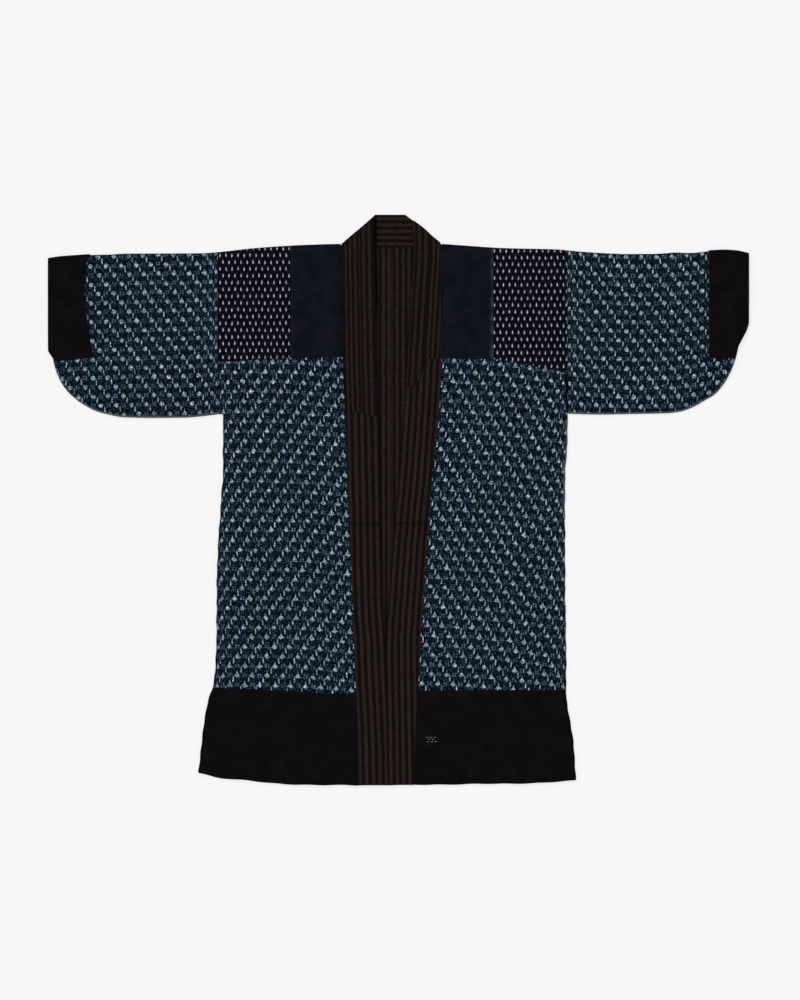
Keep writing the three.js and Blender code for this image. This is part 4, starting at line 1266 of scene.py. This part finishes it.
def finish_cotton(tree, at, base, pitch, roughness, nap, relief):
    """Cotton's shader: rough, hardly any gloss, a faint nap, and the weave as its relief.
    The mesh's wear-and-shade attribute is 1 where the cloth is painted pale, for real fraying and for
    the floor's painted shadow, and -1 where it is darkest in painted shade, as deep in a fold."""
    wear_and_shade = node(tree, "Attribute", {"attribute_name": "WearAndShade"}, out=2)
    # Positive values paint real fraying and the floor's painted shadow in pale grey.
    fray_and_shadow_share = node(tree, "MapRange", {}, (wear_and_shade, 0, 1, 0, 1))
    base = node(tree, "Mix", BLEND, {0: fray_and_shadow_share, 6: base, 7: colour(FRAY_AND_SHADOW_GREY)}, 2)
    # Negative values are painted shade: the cloth is darkened where less light would fall.
    folded = node(tree, "MapRange", {}, (wear_and_shade, -1, 0, DEEPEST, 1))
    base = node(tree, "VectorMath", "SCALE", {0: base, "Scale": folded})
    weave = drawn("Plain weave")
    height = node(tree, "Group", weave, (at, (pitch, pitch, 1)), "Height")
    slubs = node(tree, "Group", weave, (at, (pitch, pitch, 1)), "Slubs")
    raised = node(tree, "Math", "MULTIPLY_ADD", (slubs, 1.4, height))
    bump = node(tree, "Bump", {}, {"Strength": relief, "Distance": WEAVE_DEPTH, "Height": raised})
    tone = node(tree, "MapRange", {}, (slubs, 0.2, 0.8, 0.8, 1.22))
    toned = node(tree, "VectorMath", "SCALE", {0: base, "Scale": tone})
    rough = node(tree, "MapRange", {}, (height, 0, 1, roughness, roughness - 0.1))
    shader = tree.nodes.new("ShaderNodeBsdfPrincipled")
    tree.links.new(toned, shader.inputs["Base Color"])
    tree.links.new(rough, shader.inputs["Roughness"])
    tree.links.new(bump, shader.inputs["Normal"])
    shader.inputs["IOR"].default_value = COTTON_IOR
    shader.inputs["Specular IOR Level"].default_value = COTTON_SPECULAR
    shader.inputs["Sheen Weight"].default_value = nap
    shader.inputs["Sheen Roughness"].default_value = NAP_ROUGHNESS
    end = tree.nodes.new("ShaderNodeOutputMaterial")
    tree.links.new(shader.outputs[0], end.inputs["Surface"])


def dabs(tree, local, chart):
    """The figure of a chart's dabs in one cell, each with its strength."""
    figure = None
    for x, y, half_width, half_height, strength in chart:
        feeds = (local, (x, y, 0), (half_width, half_height, 1))
        mask = node(tree, "Group", drawn("Dyed dab"), feeds)
        part = node(tree, "Math", "MULTIPLY", (mask, strength))
        if figure is None:
            figure = part
        else:
            figure = node(tree, "Math", "MAXIMUM", (figure, part))
    return figure


def charted(tree, at, repeat, offset, chart, jitter, fading):
    """A charted figure repeated in half drop. Each one strays and fades by its own chance."""
    feeds = (at, (*repeat, 1), (*offset, 0))
    local = node(tree, "Group", drawn("Half-drop cell"), feeds, "Local")
    cell = node(tree, "Group", drawn("Half-drop cell"), feeds, "Cell")
    seed = node(tree, "VectorMath", "ADD", (cell, (*offset, 0)))
    chance = node(tree, "TexWhiteNoise", {"noise_dimensions": "3D"}, {"Vector": seed}, "Color")
    centred = node(tree, "VectorMath", "SUBTRACT", (chance, (0.5, 0.5, 0.5)))
    feeds = (centred, (*jitter, 0), local)
    strayed = node(tree, "VectorMath", "MULTIPLY_ADD", feeds)
    figure = dabs(tree, strayed, chart)
    third = node(tree, "SeparateXYZ", {}, (chance,), 2)
    faded = node(tree, "MapRange", {}, (third, 0, 1, 1 - fading, 1))
    return node(tree, "Math", "MULTIPLY", (figure, faded))


# The kasuri's repeat and its three figures, in mm from the figure's own middle: a bell with a
# stem, a tick on the slant between two bells, and a faint well between the bells of a row.
KASURI_REPEAT = (27.0, 17.5)
BELL_RISE = 2.6  # from the bell's middle to the middle of its cell
BELL_DOME = {
    "body": ((0.0, -0.7 - BELL_RISE, 3.5, 3.5, 1.0),),
    "sleeves": ((0.0, -0.4 - BELL_RISE, 3.75, 3.85, 1.0),),
}
BELL_RIM = (
    (0.0, -1.7 - BELL_RISE, 5.4, 1.3, 0.9),
    (0.0, 3.0 - BELL_RISE, 1.5, 1.9, 0.9),
    (0.0, 5.2 - BELL_RISE, 0.8, 2.6, 0.85),
)
# How strongly the brims and stems took the dye, at the least and at the most.
RIM_STRENGTH = {"body": (0.4, 1.1), "sleeves": (-0.2, 0.75)}
BELL_SHADE = ((0.0, 0.6 - BELL_RISE, 7.8, 7.6, 1.0),)
BELL_FOOT = ((0.0, -5.4 - BELL_RISE, 4.6, 1.4, 1.0),)
TICK_AT = (6.9, -8.6)
TICK = ((0.0, 0.6, 0.9, 5.2, 1.0), (0.0, -2.4, 1.2, 2.2, 0.8))
WELL_AT = (KASURI_REPEAT[0] / 2, 0.0)
WELL = (
    (-2.2, 1.9, 1.2, 1.4, 1.0),
    (2.2, 1.9, 1.2, 1.4, 0.8),
    (-2.2, -1.9, 1.2, 1.4, 0.8),
    (2.2, -1.9, 1.2, 1.4, 1.0),
)


NOISE_SPREAD = 0.14  # how far on either side of 0.5 most of a noise lies


def streaks(tree, at, spacing, length, low, high):
    """Uneven threads that run up the cloth, as a factor between low and high."""
    stretched = node(tree, "VectorMath", "DIVIDE", (at, (spacing, length, 1)))
    noise = node(tree, "TexNoise", {}, {"Vector": stretched, "Scale": 1, "Detail": 1})
    feeds = (noise, 0.5 - NOISE_SPREAD, 0.5 + NOISE_SPREAD, low, high)
    return node(tree, "MapRange", {}, feeds)


def kasuri_cotton(part):
    """Indigo kasuri, a cotton whose yarns were tied and dyed before weaving. The eye gets
    pale, ragged-edged figures on a ground that is never quite one blue. The bells of the
    sleeves are rounder than the body's."""
    name = f"Indigo kasuri cotton {part}"
    if name in bpy.data.materials:
        return bpy.data.materials[name]
    cloth = bpy.context.scene.kasuri_cloth
    material, tree, at = start_cotton(name)
    drift = node(tree, "TexNoise", {}, {"Vector": at, "Scale": 0.013, "Detail": 1}, "Color")
    centred = node(tree, "VectorMath", "SUBTRACT", (drift, (0.5, 0.5, 0.5)))
    strayed = node(tree, "VectorMath", "MULTIPLY_ADD", (centred, (7, 5, 0), at))
    # Yarns are 0.5 mm apart; their slipping is drawn in bundles of 1.7 mm so that it shows.
    slip = drawn("Slipped threads")
    ragged = node(tree, "Group", slip, (strayed, (1.7, 1.7, 1), (0.9, 2.2, 0)))
    bell_at, stray = (0, BELL_RISE), (0.9, 0.9)
    dome = charted(tree, ragged, KASURI_REPEAT, bell_at, BELL_DOME[part], stray, 0.35)
    rim = charted(tree, ragged, KASURI_REPEAT, bell_at, BELL_RIM, stray, 0.35)
    # In some parts of the cloth the brims and stems took the dye, and the bells look round.
    crisp = streaks(tree, at, 70.0, 90.0, *RIM_STRENGTH[part])
    rim = node(tree, "Math", "MULTIPLY", (rim, crisp))
    bell = node(tree, "Math", "MAXIMUM", (dome, rim))
    tick = charted(tree, ragged, KASURI_REPEAT, TICK_AT, TICK, (0.8, 1.0), 0.5)
    well = charted(tree, ragged, KASURI_REPEAT, WELL_AT, WELL, (0.6, 0.6), 0.6)
    shade = charted(tree, strayed, KASURI_REPEAT, bell_at, BELL_SHADE, (0, 0), 0.3)
    foot = charted(tree, ragged, KASURI_REPEAT, bell_at, BELL_FOOT, stray, 0.7)
    y = node(tree, "SeparateXYZ", {}, (strayed,), 1)
    turn = node(tree, "Math", "MULTIPLY", (y, 2 * math.pi / KASURI_REPEAT[1]))
    wave = node(tree, "Math", "COSINE", (turn,))
    row = node(tree, "MapRange", {}, (wave, -1, 1, 0, 1))
    # Between the figures the threads took the dye unevenly: nearly black, teal, navy and grey.
    uneven = streaks(tree, ragged, 3.1, 4.7, 0.2, 1)
    dyed = node(tree, "Math", "MULTIPLY", (row, uneven))
    navy = streaks(tree, strayed, 6.0, 8.0, 0, 1)
    rows = node(tree, "Mix", BLEND, {0: navy, 6: (*cloth.row, 1), 7: (*cloth.navy, 1)}, 2)
    ground = node(tree, "Mix", BLEND, {0: dyed, 6: (*cloth.gap, 1), 7: rows}, 2)
    ground = node(tree, "Mix", BLEND, {0: foot, 6: ground, 7: (*cloth.foot, 1)}, 2)
    speck = streaks(tree, strayed, 2.2, 2.6, -1.1, 0.9)
    ground = node(tree, "Mix", BLEND, {0: speck, 6: ground, 7: (*cloth.speck, 1)}, 2)
    sunk = node(tree, "MapRange", {}, (shade, 0, 1, 1, 0.1))
    ground = node(tree, "VectorMath", "SCALE", {0: ground, "Scale": sunk})
    base = node(tree, "Mix", BLEND, {0: well, 6: ground, 7: (*cloth.well, 1)}, 2)
    base = node(tree, "Mix", BLEND, {0: tick, 6: base, 7: (*cloth.tick, 1)}, 2)
    worn = streaks(tree, strayed, 2.3, 2.7, 0.45, 1.25)
    bell = node(tree, "Math", "MULTIPLY", (bell, worn))
    base = node(tree, "Mix", BLEND, {0: bell, 6: base, 7: (*cloth.bell, 1)}, 2)
    # Single warps and wefts that are darker or paler than their neighbours.
    for spacing, length in ((2.1, 7.0), (7.0, 2.1)):
        yarns = streaks(tree, at, spacing, length, 0.4, 1.5)
        base = node(tree, "VectorMath", "SCALE", {0: base, "Scale": yarns})
    finish_cotton(tree, at, base, pitch=1.1, roughness=0.92, nap=0.003, relief=0.5)
    return material


DOT_REPEAT = (10.7, 12.1)
DOT = ((0.0, -0.3, 1.2, 2.3, 1.0), (0.0, 1.2, 0.8, 2.5, 0.8))
DOT_START = {"left": (-312.4, 421.9), "right": (176.0, 429.9)}
DOTS_DARK, DOTS_GROUND, DOTS_PALE = "#000006", "#131420", "#b4b5bd"


def dotted_cotton():
    """Small-dot kasuri: the eye gets nearly black indigo with pale upright dots in half drop."""
    name = "Small-dot kasuri cotton"
    if name in bpy.data.materials:
        return bpy.data.materials[name]
    material, tree, at = start_cotton(name)
    slip = drawn("Slipped threads")
    ragged = node(tree, "Group", slip, (at, (1.0, 1.0, 1), (0.5, 1.6, 0)))
    dot = charted(tree, ragged, DOT_REPEAT, (0, 0), DOT, (0.6, 0.8), 0.35)
    cloudy = streaks(tree, at, 2.8, 4.4, 0, 1)
    ground = node(tree, "Mix", BLEND, {0: cloudy, 6: colour(DOTS_DARK), 7: colour(DOTS_GROUND)}, 2)
    base = node(tree, "Mix", BLEND, {0: dot, 6: ground, 7: colour(DOTS_PALE)}, 2)
    finish_cotton(tree, at, base, pitch=0.9, roughness=0.92, nap=0.003, relief=0.4)
    return material


def plain_cotton(name, dark, light):
    """Piece-dyed cotton between two tones, in clouds of a few centimetres."""
    if name in bpy.data.materials:
        return bpy.data.materials[name]
    material, tree, at = start_cotton(name)
    cloudy = node(tree, "TexNoise", {}, {"Vector": at, "Scale": 0.03, "Detail": 5})
    worn = node(tree, "MapRange", {}, (cloudy, 0.35, 0.68, 0, 1))
    base = node(tree, "Mix", BLEND, {0: worn, 6: colour(dark), 7: colour(light)}, 2)
    finish_cotton(tree, at, base, pitch=0.9, roughness=0.93, nap=0.01, relief=0.35)
    return material


def navy_cotton():
    """Plain navy cotton, washed soft: matt, with faint clouds where the indigo has gone."""
    return plain_cotton("Plain navy cotton", "#0a0e16", "#14141e")


def black_cotton():
    """Plain black cotton of the hem and cuffs: matt, slightly brown where it has faded."""
    return plain_cotton("Plain black cotton", "#0b080b", "#100d11")


# Stripes across the bands: how far on they repeat, and each one's place in mm, half width and
# lightness.
STRIPES = {
    "band": (STRIPE_PITCH, ((STRIPE_PITCH / 2, 2.8, 1.0),)),
    "cover left": (
        64,
        ((52.7, 1.9, 1.0), (44.9, 1.9, 1.0), (36, 2.0, 1.0), (28.5, 1.6, 0.45), (20.7, 2.6, 0.9),
         (10.5, 2.6, 0.9), (60, 1.8, 0.6)),
    ),
    "cover right": (
        64,
        ((54.7, 1.9, 1.0), (45.5, 1.9, 1.0), (37.1, 1.9, 1.0), (23.1, 2.6, 0.9), (12.1, 2.6, 0.9),
         (2.0, 2.3, 0.7)),
    ),
    "lining": (
        124,
        ((24.3, 2.6, 0.8), (35.1, 2.6, 1.0), (44.9, 2.6, 0.9), (50.4, 1.8, 0.7), (59.3, 2.7, 0.95),
         (70.5, 2.7, 0.9), (80.7, 2.6, 0.9), (91, 2.7, 0.9), (12.5, 2.7, 0.9), (102, 2.7, 0.9)),
    ),
}  # fmt: skip
LINING_SHIFT = 62.0  # from the lining's stripe chart to its place across the jacket


def sewing_cotton(name, dyed):
    """Sewing cotton, plied from two strands: the eye gets a matt thread, with painted shade in
    streaks for the hollow between the strands."""
    material, tree, at = start_cotton(name)
    strand = streaks(tree, at, 0.5, 0.9, 0.65, 1.2)
    base = node(tree, "VectorMath", "SCALE", {0: dyed[:3], "Scale": strand})
    finish_cotton(tree, at, base, pitch=0.5, roughness=0.9, nap=0.01, relief=0.3)
    return material


def striped_cotton(kind):
    """Striped cotton of the collar, brown on black: soft-edged warp stripes, slightly
    rubbed, never two of quite the same strength."""
    name = f"Striped cotton {kind}"
    if name in bpy.data.materials:
        return bpy.data.materials[name]
    cloth = bpy.context.scene.striped_cloth
    material, tree, at = start_cotton(name)
    width, chart = STRIPES[kind]
    wander = node(tree, "TexNoise", {}, {"Vector": at, "Scale": 0.03, "Detail": 2})
    wavy = node(tree, "MapRange", {}, (wander, 0, 1, -0.9, 0.9))
    x = node(tree, "SeparateXYZ", {}, (at,), 0)
    x = node(tree, "Math", "ADD", (x, wavy))
    if kind == "lining":
        x = node(tree, "Math", "ADD", (x, LINING_SHIFT))
    inside = node(tree, "Math", "FLOORED_MODULO", (x, width))
    share = node(tree, "CombineXYZ", {}, (inside,))
    lit = dabs(tree, share, [(place_x, 0, half, 1, strength) for place_x, half, strength in chart])
    order = node(tree, "Math", "DIVIDE", (x, STRIPE_PITCH))
    order = node(tree, "Math", "FLOOR", (order,))
    chance = node(tree, "TexWhiteNoise", {"noise_dimensions": "1D"}, {"W": order})
    faded = node(tree, "MapRange", {}, (chance, 0, 1, 0.82, 1))
    lit = node(tree, "Math", "MULTIPLY", (lit, faded))
    # Some stripes are olive and some rosy, and thick wefts show across all of them.
    warm = streaks(tree, at, 9.0, 60.0, 0, 1)
    light = node(tree, "Mix", BLEND, {0: warm, 6: (*cloth.light, 1), 7: (*cloth.rose, 1)}, 2)
    base = node(tree, "Mix", BLEND, {0: lit, 6: (*cloth.dark, 1), 7: light}, 2)
    for spacing, length, depth in ((1.8, 9.0, 0.2), (9.0, 1.8, 0.14)):
        uneven = streaks(tree, at, spacing, length, 1 - depth, 1 + depth)
        base = node(tree, "VectorMath", "SCALE", {0: base, "Scale": uneven})
    finish_cotton(tree, at, base, pitch=0.9, roughness=0.92, nap=0.01, relief=0.4)
    return material


def opal_glass(stage):
    """Opal glass of a light table, ground matt: the eye gets an even white that has no
    pattern of its own, and hardly a shadow."""
    material = bpy.data.materials.new("Opal glass")
    material.use_nodes = True
    shader = material.node_tree.nodes["Principled BSDF"]
    shader.inputs["Base Color"].default_value = (*stage.floor, 1)
    shader.inputs["Roughness"].default_value = 0.95
    shader.inputs["Specular IOR Level"].default_value = 0.1
    shader.inputs["Emission Color"].default_value = (1, 1, 1, 1)
    shader.inputs["Emission Strength"].default_value = stage.glow
    return material


# ---- Stage ----
FLOOR_SIZE = 24.0
FLOOR_DROP = 0.0006  # keeps the floor clear of the lowest cloth
SUN_STRENGTH = 1.47
SUN_WIDTH, SUN_FROM_TOP, SUN_FROM_LEFT = 38, 32, 20  # degrees
ROOM_STRENGTH = 0.675
SENSOR_HEIGHT = 36
VIEW_HEIGHT = 1.78  # how much of the cloth's level fits in the picture's height
VIEW_CENTRE = 2.7
CLOTH_LEVEL = 0.005


# ---- Settings ----
def tint(label, description, hex_code):
    """A colour that can be chosen in the panel."""
    return bpy.props.FloatVectorProperty(
        name=label, description=description, subtype="COLOR", size=3, min=0, max=1,
        default=colour(hex_code)[:3],
    )  # fmt: skip


class JacketCut(bpy.types.PropertyGroup):
    """How finely the jacket's cloth is modelled."""

    cell: bpy.props.FloatProperty(
        name="Cloth cell", description="Size of the cells of the upper cloths",
        default=0.0045, min=0.002, max=0.02, unit="LENGTH",
    )  # fmt: skip


class KasuriCloth(bpy.types.PropertyGroup):
    """Colours of the body and sleeve cloth."""

    gap: tint("Between rows", "Ground between the rows of figures", "#000612")
    row: tint("Along rows", "Ground along the rows of figures", "#0b2330")
    navy: tint("Along rows, navy", "Navy patches along the rows of figures", "#191d35")
    foot: tint("Feet", "The teal line under each large figure", "#143947")
    speck: tint("Specks", "Threads of the ground that took little dye", "#2e4454")
    bell: tint("Bells", "The large pale figures", "#9ab2bc")
    tick: tint("Ticks", "The upright ticks between the figures", "#a0afc1")
    well: tint("Wells", "The faint squares between the figures", "#647085")


class StripedCloth(bpy.types.PropertyGroup):
    """Colours of the collar cloth."""

    dark: tint("Dark stripe", "The black ground of the stripes", "#110b0c")
    light: tint("Light stripe", "The olive brown stripes", "#26201a")
    rose: tint("Rosy stripe", "The rosy brown stripes", "#2a1d1e")


class SewingThread(bpy.types.PropertyGroup):
    """Colours of the threads that show."""

    seam: tint("Seams", "Thread of the overcast edges", "#3b2423")
    tack: tint("Darn", "Thread of the darn on the hem band", "#9a9a98")


class JacketStage(bpy.types.PropertyGroup):
    """The floor, the light and the camera."""

    floor: tint("Floor", "Colour of the floor", "#7c7c7c")
    glow: bpy.props.FloatProperty(
        name="Floor glow", description="Light that the floor gives by itself",
        default=0.72, min=0, max=1,
    )  # fmt: skip
    camera_height: bpy.props.FloatProperty(
        name="Camera height", description="Height of the camera over the floor",
        default=7.0, min=2.0, max=20.0, unit="LENGTH",
    )  # fmt: skip


# ---- Operators ----
class NORAGI_OT_body(bpy.types.Operator):
    """Make the body panels and the hem bands"""

    bl_idname = "noragi.body"
    bl_label = "Body and hem"

    def execute(self, context):
        for half in HALVES:
            make_body(context, half)
        return {"FINISHED"}


class NORAGI_OT_patches(bpy.types.Operator):
    """Make the shoulder patches, folded over the shoulders"""

    bl_idname = "noragi.patches"
    bl_label = "Shoulder patches"

    def execute(self, context):
        for half in HALVES:
            make_patches(context, half)
        return {"FINISHED"}


class NORAGI_OT_sleeves(bpy.types.Operator):
    """Make the sleeves and their cuff bands"""

    bl_idname = "noragi.sleeves"
    bl_label = "Sleeves and cuffs"

    def execute(self, context):
        for half in HALVES:
            make_sleeve(context, half)
            make_cuff(context, half)
        return {"FINISHED"}


class NORAGI_OT_collar(bpy.types.Operator):
    """Make the collar bands, their covers, the neck band and the lining"""

    bl_idname = "noragi.collar"
    bl_label = "Collar and lining"

    def execute(self, context):
        for half in HALVES:
            make_collar(context, half)
        make_neck_band(context)
        make_lining(context)
        return {"FINISHED"}


class NORAGI_OT_stitches(bpy.types.Operator):
    """Make the stitches that show"""

    bl_idname = "noragi.stitches"
    bl_label = "Stitches"

    def execute(self, context):
        make_stitches(context)
        return {"FINISHED"}


class NORAGI_OT_stage(bpy.types.Operator):
    """Make the floor, the lights and the camera"""

    bl_idname = "noragi.stage"
    bl_label = "Stage"

    def execute(self, context):
        stage = context.scene.jacket_stage
        bpy.ops.object.select_all(action="DESELECT")
        bpy.ops.mesh.primitive_plane_add(size=FLOOR_SIZE, location=(0, 0, -FLOOR_DROP))
        floor = context.object
        floor.name = "floor"
        bpy.ops.object.transform_apply(location=True, rotation=True, scale=True)
        floor.data.materials.append(opal_glass(stage))

        bpy.ops.object.light_add(type="SUN", location=(-1.5, 2.5, 4))
        sun = context.object
        sun.name = "soft_key"
        sun.data.energy = SUN_STRENGTH
        sun.data.angle = math.radians(SUN_WIDTH)
        sun.rotation_euler = (math.radians(-SUN_FROM_TOP), math.radians(-SUN_FROM_LEFT), 0)

        world = bpy.data.worlds.new("soft_room")
        world.use_nodes = True
        background = world.node_tree.nodes["Background"]
        background.inputs["Color"].default_value = (1, 1, 1, 1)
        background.inputs["Strength"].default_value = ROOM_STRENGTH
        context.scene.world = world

        height = stage.camera_height
        bpy.ops.object.camera_add(location=(VIEW_CENTRE * MM, 0, height), rotation=(0, 0, 0))
        camera = context.object
        camera.name = "camera_above"
        camera.data.sensor_fit = "VERTICAL"
        camera.data.sensor_height = SENSOR_HEIGHT
        camera.data.lens = SENSOR_HEIGHT * (height - CLOTH_LEVEL) / VIEW_HEIGHT
        camera.data.clip_end = 60
        context.scene.camera = camera
        context.scene.view_settings.view_transform = "Standard"
        return {"FINISHED"}


class NORAGI_PT_jacket(bpy.types.Panel):
    """Lists the jacket's groups of pieces and their settings"""

    bl_idname = "NORAGI_PT_jacket"
    bl_label = "Noragi Jacket"
    bl_space_type = "VIEW_3D"
    bl_region_type = "UI"
    bl_category = "Noragi"

    def draw(self, context):
        layout = self.layout
        for group_name, names in SETTINGS.items():
            box = layout.box()
            for setting in names:
                box.prop(getattr(context.scene, group_name), setting)
        for operator in OPERATORS:
            layout.operator(operator.bl_idname)


SETTINGS = {
    "jacket_cut": ("cell",),
    "kasuri_cloth": ("gap", "row", "navy", "foot", "speck", "bell", "tick", "well"),
    "striped_cloth": ("dark", "light", "rose"),
    "sewing_thread": ("seam", "tack"),
    "jacket_stage": ("floor", "glow", "camera_height"),
}
GROUPS = {
    "jacket_cut": JacketCut,
    "kasuri_cloth": KasuriCloth,
    "striped_cloth": StripedCloth,
    "sewing_thread": SewingThread,
    "jacket_stage": JacketStage,
}
OPERATORS = (
    NORAGI_OT_body,
    NORAGI_OT_patches,
    NORAGI_OT_sleeves,
    NORAGI_OT_collar,
    NORAGI_OT_stitches,
    NORAGI_OT_stage,
)
CLASSES = (*GROUPS.values(), *OPERATORS, NORAGI_PT_jacket)


def register():
    for cls in CLASSES:
        bpy.utils.register_class(cls)
    for name, cls in GROUPS.items():
        setattr(bpy.types.Scene, name, bpy.props.PointerProperty(type=cls))


def unregister():
    for name in GROUPS:
        delattr(bpy.types.Scene, name)
    for cls in reversed(CLASSES):
        bpy.utils.unregister_class(cls)


def main():
    register()
    bpy.ops.noragi.stage()
    bpy.ops.noragi.body()
    bpy.ops.noragi.patches()
    bpy.ops.noragi.sleeves()
    bpy.ops.noragi.collar()
    bpy.ops.noragi.stitches()


if __name__ == "__main__":
    main()
